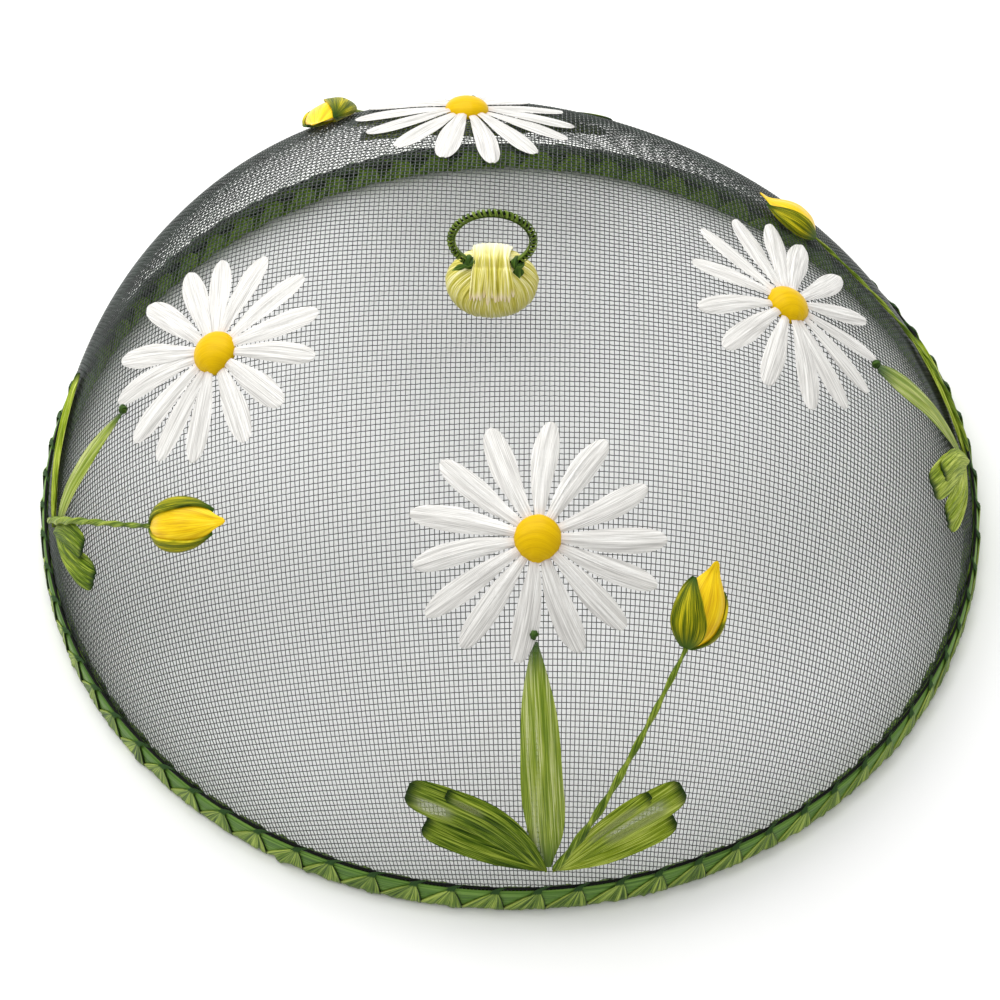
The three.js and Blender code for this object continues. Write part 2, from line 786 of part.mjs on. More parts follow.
// Tie: a loop under the crossing wires with both ends in the knob's foot
function knobTie() {
  const low = crownHeight - netTop - seatGap - tieRadius - tieDrop;
  const top = knobFoot + tieDepth;
  const inner = 1 - tieDrop / tieReach;
  const leg = (sign) => [
    [sign, top], [sign, low + 2 * tieDrop], [sign, low + tieDrop],
    [sign * (1 + inner) / 2, low + tieDrop / 3], [sign * inner, low],
  ];
  const route = [...leg(-1), ...leg(1).reverse()];
  const points = route.map(([share, z]) => new THREE.Vector3(crownX + share * tieReach, share * tieReach, z));
  return tube(points, tieRadius, 8, new THREE.Vector3(1, -1, 0).normalize());
}

addPart('knob_body', knobBody(), limeFinish);
addPart('knob_strap', knobStrap(), limeFinish);
addPart('knob_tie', knobTie(), limeFinish);

// Ring handle

const ringRise = Math.sqrt(ringRadius ** 2 - pinHalfLength ** 2);
const ringStart = -Math.asin(ringRise / ringRadius);
const ringSweep = Math.PI - 2 * ringStart;

const ringPlace = (angle, radius) => new THREE.Vector3(
  crownX + radius * Math.cos(angle), 0, pinHeight + ringRise + radius * Math.sin(angle),
);

function handleRing() {
  const steps = 32;
  const sides = 6;
  const path = Array.from({ length: steps + 1 }, (_, i) =>
    ringPlace(ringStart + ringSweep * i / steps, ringRadius));
  return loop(path.map((point, i) => {
    const before = path[(i + path.length - 1) % path.length];
    const after = path[(i + 1) % path.length];
    const tangent = after.clone().sub(before).normalize();
    const out = new THREE.Vector3(0, 1, 0);
    const inPlane = tangent.clone().cross(out);
    return Array.from({ length: sides }, (_, k) => {
      const around = tau * k / sides;
      return point.clone().addScaledVector(inPlane, ringWireRadius * Math.cos(around))
        .addScaledVector(out, ringWireRadius * Math.sin(around));
    });
  }));
}

// Winding: one ribbon round the ring. The least gap from each loop to the next one is printed.
function handleWinding() {
  const orbit = ringWireRadius + seatGap + ribbonHalfThickness;
  const setback = windingSetback / ringRadius;
  const steps = windingLoops * windingSteps;
  const frames = Array.from({ length: steps + 1 }, (_, i) => {
    const ringAngle = ringStart + setback + (ringSweep - 2 * setback) * i / steps;
    const turn = tau * i / windingSteps;
    const away = new THREE.Vector3(Math.cos(ringAngle), 0, Math.sin(ringAngle)).multiplyScalar(Math.cos(turn))
      .add(new THREE.Vector3(0, Math.sin(turn), 0));
    const along = new THREE.Vector3(-Math.sin(ringAngle), 0, Math.cos(ringAngle));
    return { middle: ringPlace(ringAngle, ringRadius).addScaledVector(away, orbit), away, along };
  });
  let leastGap = Infinity;
  frames.forEach((frame, i) => {
    const next = frames[i + windingSteps];
    if (next) leastGap = Math.min(leastGap, frame.middle.distanceTo(next.middle) - 2 * ribbonHalfWidth);
  });
  console.log(`least gap between loops of the winding: ${leastGap.toFixed(2)} mm`);
  return loft(frames.map(({ middle, away, along }) => [
    [-ribbonHalfWidth, -ribbonHalfThickness], [ribbonHalfWidth, -ribbonHalfThickness],
    [ribbonHalfWidth, ribbonHalfThickness], [-ribbonHalfWidth, ribbonHalfThickness],
  ].map(([x, z]) => middle.clone().addScaledVector(along, x).addScaledVector(away, z))));
}

// Knot: a bead of raffia on the pin beside the strap
function handleKnot(sign) {
  const sides = 12;
  const bore = ringWireRadius + seatGap;
  const half = knotWidth / 2;
  const flat = half * knotFlatShare;
  const shoulder = knotRadius * knotShoulderShare;
  const section = [
    [-half, bore], [-half, shoulder], [-flat, knotRadius],
    [flat, knotRadius], [half, shoulder], [half, bore],
  ];
  return loop(Array.from({ length: sides }, (_, k) => {
    const around = tau * k / sides;
    return section.map(([x, radius]) => new THREE.Vector3(
      crownX + sign * knotPlace + x, radius * Math.cos(around), pinHeight + radius * Math.sin(around),
    ));
  }));
}

addPart('handle_ring', handleRing(), blackFinish);
addPart('handle_winding', handleWinding(), greenFinish);
addPart('handle_knot_left', handleKnot(-1), darkGreenFinish);
addPart('handle_knot_right', handleKnot(1), darkGreenFinish);

export default cover;
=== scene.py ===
import math

import bpy
import numpy as np
from mathutils import Matrix, Vector


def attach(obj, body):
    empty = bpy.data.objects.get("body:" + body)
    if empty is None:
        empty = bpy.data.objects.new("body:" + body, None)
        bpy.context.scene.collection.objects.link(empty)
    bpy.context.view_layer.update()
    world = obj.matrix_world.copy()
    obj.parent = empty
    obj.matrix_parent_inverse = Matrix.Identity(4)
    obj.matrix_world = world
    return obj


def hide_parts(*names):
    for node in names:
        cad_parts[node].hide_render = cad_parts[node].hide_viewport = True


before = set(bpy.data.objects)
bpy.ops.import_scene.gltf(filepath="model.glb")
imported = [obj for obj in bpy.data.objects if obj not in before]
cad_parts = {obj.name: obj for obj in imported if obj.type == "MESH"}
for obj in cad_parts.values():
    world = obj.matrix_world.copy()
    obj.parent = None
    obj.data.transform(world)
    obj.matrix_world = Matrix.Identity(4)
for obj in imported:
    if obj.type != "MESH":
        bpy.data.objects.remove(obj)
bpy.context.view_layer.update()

MM = 0.001
TAU = 2 * math.pi

# Cover
COVER_RADIUS = 178 * MM
CROWN_HEIGHT = 121.5 * MM
RIM_HEIGHT = 11 * MM
NET_RADIUS = 174.3 * MM
DOME_RISE = CROWN_HEIGHT - RIM_HEIGHT
PROFILE_POWER = 2.96
PROFILE_ROOT = 0.745
EASE_SHARE = 0.9
SKEW_HEIGHT = 6.7 * MM
LEAN_OFFSET = 8 * MM
LEAN_POWER = 0.8
CROWN_X = -LEAN_OFFSET
SETTLE_ROUNDS = 12

# Clusters, in millimetres and degrees. Turns are about Z from +X. Places are a reach from Z and a turn.
USUAL = dict(foot_rise=8, knot_drop=0.8, knot_lift=2.2, stem_bow=0, stem_start=0, stem_swell=1)
CLUSTERS = {
    "front": dict(USUAL, leaf_turn=275.5, flower=(96.5, 280), pinch=-90, tall_tip=(123, 277), tall_half=7.3,
                  bud_turn=298.5, bud_tip=(122, 308.5)),
    "left": dict(USUAL, leaf_turn=192, flower=(99, 187.5), pinch=-20, tall_tip=(134, 188), tall_half=4.6,
                 bud_turn=208.5, bud_tip=(118, 219.5), foot_rise=17, stem_bow=-2, stem_start=-5),
    "right": dict(USUAL, leaf_turn=3.5, flower=(106, 9), pinch=165, tall_tip=(136, 3.5), tall_half=6,
                  bud_turn=32, bud_tip=(127, 41.5), stem_bow=5, stem_swell=0.66),
    "back": dict(USUAL, leaf_turn=94, flower=(107.5, 96.5), pinch=-80, tall_tip=(137, 95), tall_half=6,
                 bud_turn=116.5, bud_tip=(117, 125.5), stem_bow=12, stem_swell=0.66,
                 knot_drop=18, knot_lift=1.1),
}
SIDES = {"left": -1, "right": 1}

# Petal tips in the picture's pixels, clockwise from the top
PETAL_TIPS_PX = {
    "front": [(552, 422), (606, 440), (647, 486), (667, 539), (657, 585), (625, 628), (581, 651),
              (517, 662), (462, 647), (426, 615), (413, 566), (410, 513), (441, 461), (490, 428)],
    "left": [(223, 261), (267, 257), (305, 276), (320, 311), (317, 357), (284, 405), (247, 442),
             (194, 463), (160, 461), (136, 442), (120, 402), (124, 360), (150, 307), (190, 274)],
    "right": [(769, 226), (800, 247), (838, 278), (863, 320), (874, 360), (866, 394), (844, 410),
              (809, 411), (764, 386), (722, 349), (696, 309), (690, 262), (700, 230), (734, 221)],
}


def srgb(red, green, blue):
    """A linear colour from one given in 0 to 255."""
    shares = [c / 255 for c in (red, green, blue)]
    return (*(s / 12.92 if s <= 0.04045 else ((s + 0.055) / 1.055) ** 2.4 for s in shares), 1)


def unit(vectors):
    return vectors / np.maximum(np.linalg.norm(vectors, axis=-1, keepdims=True), 1e-12)


def fields(*values):
    """Values spread to one shape and stacked, as coordinates are."""
    return np.stack(np.broadcast_arrays(*values), -1)


def circle(count):
    """Even angles round a full turn."""
    return np.arange(count) * TAU / count


def polar(radius, angle, height):
    return fields(radius * np.cos(angle), radius * np.sin(angle), height)


def bell(offset, width):
    return np.exp(-(offset / width) ** 2)


# Dome surface, by share of the net's radius and angle about Z

def full_height(share):
    return RIM_HEIGHT + DOME_RISE * (1 - share ** PROFILE_POWER) ** PROFILE_ROOT


EASE_HEIGHT = full_height(EASE_SHARE)
EASE_SLOPE = (full_height(EASE_SHARE + 1e-4) - full_height(EASE_SHARE - 1e-4)) / 2e-4
EASE_BEND = (RIM_HEIGHT - EASE_HEIGHT - EASE_SLOPE * (1 - EASE_SHARE)) / (1 - EASE_SHARE) ** 2


def meridian_height(share):
    """The dome's profile. Its foot is less steep than the full curve, as the net pulls straight."""
    past = np.maximum(share - EASE_SHARE, 0)
    eased = EASE_HEIGHT + EASE_SLOPE * past + EASE_BEND * past ** 2
    return np.where(past > 0, eased, full_height(share))


def dome_height(share, angle):
    belly = 4 * share ** 2 * (1 - share ** 2)
    return meridian_height(share) - SKEW_HEIGHT * np.sin(2 * angle) * belly


def lean_at(height):
    return LEAN_OFFSET * np.maximum((height - RIM_HEIGHT) / DOME_RISE, 0) ** LEAN_POWER


def dome_point(share, angle):
    height = dome_height(share, angle)
    return polar(share * NET_RADIUS, angle, height) - fields(lean_at(height), 0.0, 0.0)


def dome_normal(share, angle):
    step = 1e-3
    sweep = np.arcsin(np.minimum(share, math.sin(math.pi / 2 - 2 * step)))
    u, v = sweep * np.cos(angle), sweep * np.sin(angle)

    def at(du, dv):
        return dome_point(np.sin(np.hypot(u + du, v + dv)), np.arctan2(v + dv, u + du))

    return unit(np.cross(at(step, 0) - at(-step, 0), at(0, step) - at(0, -step)))


def height_at(x, y):
    height = np.full_like(x, CROWN_HEIGHT)
    for _ in range(SETTLE_ROUNDS):
        unleaned = x + lean_at(height)
        share = np.minimum(np.hypot(unleaned, y) / NET_RADIUS, 1)
        height = dome_height(share, np.arctan2(y, unleaned))
    return height


def settle(points, direction):
    """Moves points along one direction until they lie on the dome."""
    for _ in range(SETTLE_ROUNDS):
        drop = points[..., 2] - height_at(points[..., 0], points[..., 1])
        points = points - (drop * direction[2])[..., None] * direction
    return points


def run_lengths(points):
    return np.concatenate([[0], np.cumsum(np.linalg.norm(np.diff(points, axis=0), axis=1))])


# The flat sheet that the net was formed from: arc lengths from the crown

MERIDIAN_SHARES = np.sin(np.linspace(0, math.pi / 2, 401))
MERIDIAN_REACHES = MERIDIAN_SHARES * NET_RADIUS
MERIDIAN_ARCS = run_lengths(fields(MERIDIAN_REACHES, meridian_height(MERIDIAN_SHARES)))
SHEET_RADIUS = MERIDIAN_ARCS[-1]


def reach_at_arc(arc):
    return np.interp(arc, MERIDIAN_ARCS, MERIDIAN_REACHES)


def arc_at_reach(reach):
    return np.interp(reach, MERIDIAN_REACHES, MERIDIAN_ARCS)


def on_net(reach, angle, lift):
    share = np.minimum(reach / NET_RADIUS, 1)
    normal = dome_normal(share, angle)
    return dome_point(share, angle) + np.asarray(lift)[..., None] * normal, normal


# Camera

CAMERA_ELEVATION = math.radians(53.264)
CAMERA_DISTANCE = 1.37172
CAMERA_ROLL = math.radians(1.0075)
CAMERA_LENS = 129.6
CAMERA_SENSOR = 36
CAMERA_SHIFT = (-0.01062, 0.00635)
PICTURE_SIZE = 1000
TIP_LIFT = 1.0 * MM

CAMERA_AHEAD = np.array([0, math.cos(CAMERA_ELEVATION), -math.sin(CAMERA_ELEVATION)])
CAMERA_PLACE = -CAMERA_AHEAD * CAMERA_DISTANCE
LEVEL_RIGHT = np.array([1.0, 0, 0])
LEVEL_UP = np.cross(LEVEL_RIGHT, CAMERA_AHEAD)
CAMERA_RIGHT = math.cos(CAMERA_ROLL) * LEVEL_RIGHT + math.sin(CAMERA_ROLL) * LEVEL_UP
CAMERA_UP = math.cos(CAMERA_ROLL) * LEVEL_UP - math.sin(CAMERA_ROLL) * LEVEL_RIGHT


def make_camera():
    data = bpy.data.cameras.new("camera")
    data.lens = CAMERA_LENS
    data.sensor_width = CAMERA_SENSOR
    data.shift_x, data.shift_y = CAMERA_SHIFT
    camera = bpy.data.objects.new("camera", data)
    rows = np.eye(4)
    rows[:3] = np.stack([CAMERA_RIGHT, CAMERA_UP, -CAMERA_AHEAD, CAMERA_PLACE], 1)
    camera.matrix_world = Matrix(rows.tolist())
    bpy.context.scene.collection.objects.link(camera)
    bpy.context.scene.camera = camera


def place_from_pixel(pixel):
    """Reach and angle of the place just over the net that a pixel of the picture shows."""
    focal = CAMERA_LENS / CAMERA_SENSOR * PICTURE_SIZE
    right = (pixel[0] - PICTURE_SIZE / 2) / focal + CAMERA_SHIFT[0] * PICTURE_SIZE / focal
    down = (pixel[1] - PICTURE_SIZE / 2) / focal - CAMERA_SHIFT[1] * PICTURE_SIZE / focal
    ray = unit(CAMERA_AHEAD + right * CAMERA_RIGHT - down * CAMERA_UP)
    runs = np.linspace(CAMERA_DISTANCE * 0.8, CAMERA_DISTANCE * 1.15, 1400)
    points = CAMERA_PLACE + runs[:, None] * ray
    inside = np.hypot(points[:, 0], points[:, 1]) < NET_RADIUS
    over = points[:, 2] - height_at(points[:, 0], points[:, 1]) - TIP_LIFT
    hit = points[int(np.argmax((over < 0) & inside))]
    unleaned = hit[0] + lean_at(hit[2])
    return math.hypot(unleaned, hit[1]), math.atan2(hit[1], unleaned)


# Materials

FIBRE_DEPTH = 0.15 * MM
GRAIN_DEPTH = 0.05 * MM
GRAIN_SCALES = (2500.0, 2500.0, 2500.0)
PATCH_SCALES = (90.0, 90.0, 90.0)
PAPER_SCALES = (4.0, 4.0, 4.0)


class Look:
    """A node material built step by step."""

    def __init__(self, name):
        self.material = bpy.data.materials.new(name)
        self.material.use_nodes = True
        self.nodes = self.material.node_tree.nodes
        self.links = self.material.node_tree.links
        self.shader = self.nodes["Principled BSDF"]

    def give(self, node, inputs):
        for key, value in inputs.items():
            if isinstance(value, bpy.types.NodeSocket):
                self.links.new(value, node.inputs[key])
            else:
                node.inputs[key].default_value = value

    def set(self, **values):
        self.give(self.shader, {key.replace("_", " "): value for key, value in values.items()})

    def node(self, kind, inputs, **settings):
        node = self.nodes.new(kind)
        for key, value in settings.items():
            setattr(node, key, value)
        self.give(node, inputs)
        return node

    def attribute(self, name):
        return self.node("ShaderNodeAttribute", {}, attribute_name=name).outputs["Vector"]

    def coordinates(self):
        return self.node("ShaderNodeTexCoord", {}).outputs["Object"]

    def noise(self, vector, scales, detail=2.0, roughness=0.5):
        mapping = self.node("ShaderNodeMapping", {"Vector": vector, "Scale": scales})
        return self.node("ShaderNodeTexNoise", {
            "Vector": mapping.outputs["Vector"], "Scale": 1.0, "Detail": detail, "Roughness": roughness,
        }).outputs["Fac"]

    def math(self, operation, first, second):
        return self.node("ShaderNodeMath", {0: first, 1: second}, operation=operation).outputs[0]

    def times(self, first, second):
        return self.math("MULTIPLY", first, second)

    def spread(self, value, low, high, to_low=0.0, to_high=1.0):
        return self.node("ShaderNodeMapRange", {
            "Value": value, "From Min": low, "From Max": high, "To Min": to_low, "To Max": to_high,
        }, interpolation_type="SMOOTHSTEP").outputs["Result"]

    def ramp(self, value, places, colours):
        node = self.node("ShaderNodeValToRGB", {"Fac": value})
        elements = node.color_ramp.elements
        while len(elements) < len(places):
            elements.new(0.5)
        for element, place, colour in zip(elements, places, colours):
            element.position = place
            element.color = colour
        return node.outputs["Color"]

    def mix(self, share, first, second):
        inputs = {"Factor": share, 6: first, 7: second}
        return self.node("ShaderNodeMix", inputs, data_type="RGBA").outputs[2]

    def fibres(self, fine_size, broad_size, roughness, fine_share):
        """Fine streaks along the strands, broad ones, and both together. Sizes are a width and a length."""
        strand = self.attribute("strand")
        fine, broad = (self.noise(strand, (1 / (width * MM), 1 / (length * MM), 1.0), detail, rough)
                       for (width, length), detail, rough in ((fine_size, 3.0, roughness),
                                                              (broad_size, 2.0, 0.5)))
        both = self.math("ADD", self.times(fine, fine_share), self.times(broad, 1 - fine_share))
        return fine, broad, both

    def bump(self, height, strength, distance):
        node = self.node("ShaderNodeBump", {"Height": height, "Strength": strength, "Distance": distance})
        self.set(Normal=node.outputs["Normal"])


def raffia(name, shades, fibre=0.35, streak=9, roughness=0.5, sheen=0.02, bump=0.6, gloss=0.2,
           tip=None, root=None, seen=None, window=None):
    """Dyed raffia: streaks along the fibres, blotches, and where asked darker or paler ends and see-through
    parts. The knob's paler top and its strap's paler back are painted highlight, the knob's darker foot is
    painted shade.
    """
    look = Look(name)
    fine, broad, both = look.fibres((fibre, streak), (fibre * 6, streak * 2.2),
                                    roughness=0.6, fine_share=0.65)
    colour = look.ramp(both, (0.39, 0.5, 0.61), [srgb(*shade) for shade in shades])
    split = look.node("ShaderNodeSeparateXYZ", {"Vector": look.attribute("place")})
    along, across = split.outputs["Y"], split.outputs["X"]
    # Shades towards the tip and the root. On the knob they are a painted highlight at the top and painted
    # shade at the foot. On its strap they are a painted highlight from the top to the back end.
    for ending, place in ((tip, 1.0), (root, 0.0)):
        if ending:
            colour = look.mix(look.spread(along, ending[1], place), colour, srgb(*ending[0]))
    look.set(Roughness=roughness, Sheen_Weight=sheen, Sheen_Roughness=0.4, Specular_IOR_Level=gloss)
    if seen:
        open_share = look.spread(broad, 0.35, 0.7, *seen)
        if window:
            foot, head, left, right, share, shade = window
            inside_along = look.times(look.spread(along, foot, foot + 0.12),
                                      look.spread(along, head + 0.08, head - 0.04))
            inside_across = look.times(look.spread(across, left, left + 0.3),
                                       look.spread(across, right, right - 0.3))
            pane = look.times(inside_along, inside_across)
            open_share = look.math("MAXIMUM", open_share, look.times(pane, share))
            colour = look.mix(look.times(pane, 0.6), colour, srgb(*shade))
        look.set(Alpha=look.math("SUBTRACT", 1.0, open_share))
    look.set(Base_Color=colour)
    look.bump(fine, bump, FIBRE_DEPTH)
    return look.material


def wire(name, colour, worn, roughness, gloss, coat=0.0, sheen=0.0):
    look = Look(name)
    coordinates = look.coordinates()
    patches = look.noise(coordinates, PATCH_SCALES, detail=3.0)
    look.set(Base_Color=look.ramp(patches, (0.35, 0.7), (srgb(*colour), srgb(*worn))),
             Roughness=roughness, Specular_IOR_Level=gloss, Coat_Weight=coat, Coat_Roughness=0.12,
             Sheen_Weight=sheen, Sheen_Roughness=0.3)
    look.bump(look.noise(coordinates, GRAIN_SCALES), 0.3, GRAIN_DEPTH)
    return look.material


def lashing(name):
    """Light and dark strands, a painted highlight along the leading edge, painted shade along the trailing
    edge and on the neck over the cord, and a deeper green inside.
    """
    look = Look(name)
    fine, _, both = look.fibres((0.26, 18), (1.3, 26), roughness=0.62, fine_share=0.6)
    olive = look.ramp(both, (0.4, 0.5, 0.6), (srgb(40, 66, 12), srgb(98, 128, 36), srgb(172, 190, 86)))
    deep = look.ramp(both, (0.38, 0.5, 0.62), (srgb(42, 72, 2), srgb(84, 118, 10), srgb(128, 158, 32)))
    split = look.node("ShaderNodeSeparateXYZ", {"Vector": look.attribute("place")})
    across, opening, inside = (split.outputs[axis] for axis in "XYZ")
    # Painted highlight along the leading edge of each wrap's outer fan.
    painted_edge_highlight = look.times(look.spread(across, -0.8, -0.95), look.spread(opening, 0.1, 0.3))
    colour = look.mix(look.times(painted_edge_highlight, 0.45), olive, srgb(186, 200, 92))
    # Painted shade in the gap along each wrap's trailing edge.
    colour = look.mix(look.spread(across, 0.93, 0.99), colour, srgb(24, 40, 8))
    colour = look.mix(look.times(look.spread(opening, 0.8, 1.0), 0.35), colour, srgb(120, 134, 92))
    # Painted shade on the neck where the wrap crosses over the cord.
    colour = look.mix(look.spread(opening, 0.06, 0.02), colour, srgb(36, 68, 18))
    colour = look.mix(look.spread(inside, 0.15, 0.5), colour, deep)
    look.set(Base_Color=colour, Roughness=0.5, Specular_IOR_Level=0.25)
    look.bump(fine, 0.6, FIBRE_DEPTH)
    return look.material


# Two copies of one leaf raffia: the darker is painted shade, the lighter is painted light.
PAINTED_SHADE_GREENS = (28, 50, 2), (86, 112, 14), (162, 178, 62)
PAINTED_LIT_GREENS = (72, 96, 6), (140, 160, 34), (208, 218, 108)
LEAF = dict(fibre=0.22, streak=14, sheen=0.0, bump=0.9, tip=((28, 50, 6), 0.9), root=((96, 112, 24), 0.1))
SOLID_LEAF = dict(LEAF, seen=(0.0, 0.1), gloss=0.06)
WINDOW_LEAF = dict(LEAF, seen=(0.0, 0.12), gloss=0.1)
KNOB_SHADES = (168, 160, 30), (218, 208, 94), (255, 250, 206)
KNOB = dict(streak=14, roughness=0.36, sheen=0.2, gloss=0.28)

# By material: slot, dark, middle and light shade, and what differs from plain raffia
RAFFIAS = {
    "hoop_strip": (
        "light_raffia", ((58, 92, 26), (84, 122, 42), (116, 152, 66)),
        dict(fibre=0.5, streak=60, roughness=0.42)),
    "inner_hoop_strip": (
        "dark_raffia", ((34, 56, 4), (52, 80, 8), (80, 110, 20)),
        dict(fibre=0.5, streak=60, sheen=0.0, gloss=0.1)),
    # The leaf raffia twice: in the darker copy for painted shade and in the lighter copy for painted light,
    # each plain and with a see-through pane.
    "leaf_raffia": ("green_raffia", PAINTED_SHADE_GREENS, SOLID_LEAF),
    "window_leaf_raffia": (
        "green_raffia", PAINTED_SHADE_GREENS,
        dict(WINDOW_LEAF, window=(0.66, 0.9, -0.9, 0.1, 0.55, (176, 184, 124)))),
    "painted_lit_leaf_raffia": ("green_raffia", PAINTED_LIT_GREENS, SOLID_LEAF),
    "window_painted_lit_leaf_raffia": (
        "green_raffia", PAINTED_LIT_GREENS,
        dict(WINDOW_LEAF, window=(0.36, 0.82, -0.35, 0.85, 0.5, (176, 186, 120)))),
    "tall_leaf_raffia": (
        "green_raffia", ((104, 130, 18), (154, 172, 50), (218, 224, 146)),
        dict(fibre=0.4, streak=26, tip=((52, 84, 14), 0.8), root=((96, 126, 30), 0.2), seen=(0.12, 0.5))),
    "stem_raffia": (
        "green_raffia", ((52, 76, 4), (98, 122, 20), (160, 174, 70)), dict(fibre=0.3, streak=6)),
    "petal_raffia": (
        "white_raffia", ((190, 188, 184), (224, 222, 217), (252, 251, 247)),
        dict(fibre=0.28, streak=16, roughness=0.42, sheen=0.1, gloss=0.28,
             root=((232, 214, 202), 0.2), seen=(0.06, 0.4))),
    "yellow_raffia": (
        "yellow_raffia", ((207, 165, 0), (214, 174, 0), (222, 182, 2)),
        dict(fibre=0.16, streak=7, roughness=0.4, sheen=0.0, bump=0.1, gloss=0.1)),
    "bud_raffia": (
        "yellow_raffia", ((212, 166, 0), (234, 196, 0), (248, 216, 30)),
        dict(fibre=0.5, streak=12, roughness=0.35, bump=0.3)),
    "sepal_raffia": (
        "green_raffia", ((46, 66, 0), (112, 120, 4), (200, 184, 26)),
        dict(fibre=0.3, streak=12, gloss=0.1, tip=((44, 74, 14), 0.72), root=((64, 92, 22), 0.25))),
    # The knob's top goes to near white, a painted highlight, and its lower half darkens towards the foot,
    # painted shade.
    "knob_raffia": (
        "lime_raffia", KNOB_SHADES,
        dict(KNOB, fibre=0.4, tip=((255, 253, 226), 0.72), root=((176, 170, 40), 0.5))),
    # From its top to its back end the strap goes to one near-white shade, a painted highlight. Its front end
    # goes to a pale pinkish shade.
    "band_raffia": (
        "lime_raffia", KNOB_SHADES,
        dict(KNOB, fibre=0.3, tip=((254, 252, 226), 0.42), root=((250, 232, 200), 0.12))),
    "winding_raffia": (
        "green_raffia", ((42, 66, 6), (86, 112, 24), (146, 166, 64)), dict(fibre=0.25, streak=5)),
    "knot_raffia": (
        "dark_raffia", ((26, 50, 4), (54, 86, 16), (98, 130, 40)), dict(fibre=0.3, streak=6)),
}
LOOKS = {name: (raffia(name, shades, **extra), slot) for name, (slot, shades, extra) in RAFFIAS.items()}
LOOKS["net_wire"] = (
    wire("net_wire", (26, 34, 29), (50, 62, 54), roughness=0.3, gloss=0.5, coat=0.3, sheen=0.3), "net_wire")
LOOKS["black_wire"] = wire("black_wire", (5, 6, 5), (14, 17, 12), roughness=0.6, gloss=0.12), "black_wire"
LOOKS["lashing_raffia"] = lashing("lashing_raffia"), "green_raffia"


# Meshes from closed lofts

def ring_quads(rings, sides, looped):
    spans = rings if looped else rings - 1
    row = np.arange(spans)[:, None]
    side = np.arange(sides)[None, :]
    after = (row + 1) % rings * sides
    turn = (side + 1) % sides
    return fields(row * sides + side, row * sides + turn, after + turn, after + side).reshape(-1, 4)


class Shell:
    """Closed lofts gathered into one mesh. Each vertex keeps where it lies along and across its fibres."""

    def __init__(self):
        self.points, self.faces, self.strands, self.places = [], [], [], []
        self.count = 0

    def loft(self, rings, strands, places, looped=False):
        count, sides = rings.shape[:2]
        flat = rings.reshape(-1, 3)
        quads = ring_quads(count, sides, looped)
        corners = flat[quads]
        volume = np.einsum("ij,ij->", corners[:, 0], np.cross(corners[:, 1], corners[:, 2]))
        volume += np.einsum("ij,ij->", corners[:, 0], np.cross(corners[:, 2], corners[:, 3]))
        faces = quads.tolist()
        if not looped:
            for ring in (list(range(sides))[::-1], list(range((count - 1) * sides, count * sides))):
                faces.append(ring)
                fan = np.cross(flat[ring[1:-1]], flat[ring[2:]])
                volume += float(np.sum(fan @ flat[ring[0]]))
        if volume < 0:
            faces = [face[::-1] for face in faces]
        self.faces += [[index + self.count for index in face] for face in faces]
        self.points.append(flat)
        self.strands.append(strands.reshape(-1, 3))
        self.places.append(places.reshape(-1, 3))
        self.count += len(flat)

    def build(self, name, look, *nodes, body="cover", sharp=50):
        mesh = bpy.data.meshes.new(name)
        mesh.from_pydata(np.concatenate(self.points).tolist(), [], self.faces)
        for key, values in (("strand", self.strands), ("place", self.places)):
            layer = mesh.attributes.new(key, "FLOAT_VECTOR", "POINT")
            layer.data.foreach_set("vector", np.concatenate(values).astype(np.float32).ravel())
        mesh.shade_smooth()
        if sharp:
            mesh.set_sharp_from_angle(angle=math.radians(sharp))
        material, slot = LOOKS[look]
        mesh.materials.append(material)
        piece = bpy.data.objects.new(name, mesh)
        bpy.context.scene.collection.objects.link(piece)
        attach(piece, body)
        if nodes:
            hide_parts(*nodes)


def tangents(points, looped=False):
    if looped:
        return unit(np.roll(points, -1, 0) - np.roll(points, 1, 0))
    return unit(np.vstack([points[1:], points[-1:]]) - np.vstack([points[:1], points[:-1]]))


def curve(share, stations, values):
    """A smooth curve through the values at the stations."""
    stations, values = np.array(stations, float), np.array(values, float)
    slopes = np.gradient(values, stations)
    index = np.clip(np.searchsorted(stations, share, "right") - 1, 0, len(stations) - 2)
    span = stations[index + 1] - stations[index]
    t = (share - stations[index]) / span
    start = values[index] * (1 + 2 * t) * (1 - t) ** 2 + span * slopes[index] * t * (1 - t) ** 2
    return start + values[index + 1] * t ** 2 * (3 - 2 * t) - span * slopes[index + 1] * t ** 2 * (1 - t)


def waves(rng, low, high, angles, counts):
    """An uneven line round a ring."""
    return sum(rng.uniform(low, high) * np.sin(angles * k + rng.uniform(0, TAU)) for k in counts)


def rib_profile(rng, across, count):
    """Fine ribs across a blade, from -1 to 1, that die out at its edges."""
    centres = rng.uniform(-0.95, 0.95, count)
    widths = rng.uniform(0.05, 0.2, count)
    heights = rng.uniform(-1, 1, count)
    ribs = np.sum(heights[:, None] * bell(across - centres[:, None], widths[:, None]), 0)
    return ribs * np.sqrt(np.maximum(1 - across ** 2, 0))


def fibre_number(seed):
    """A layer of its own in the noise of the fibres."""
    return seed % 97 * 3.7


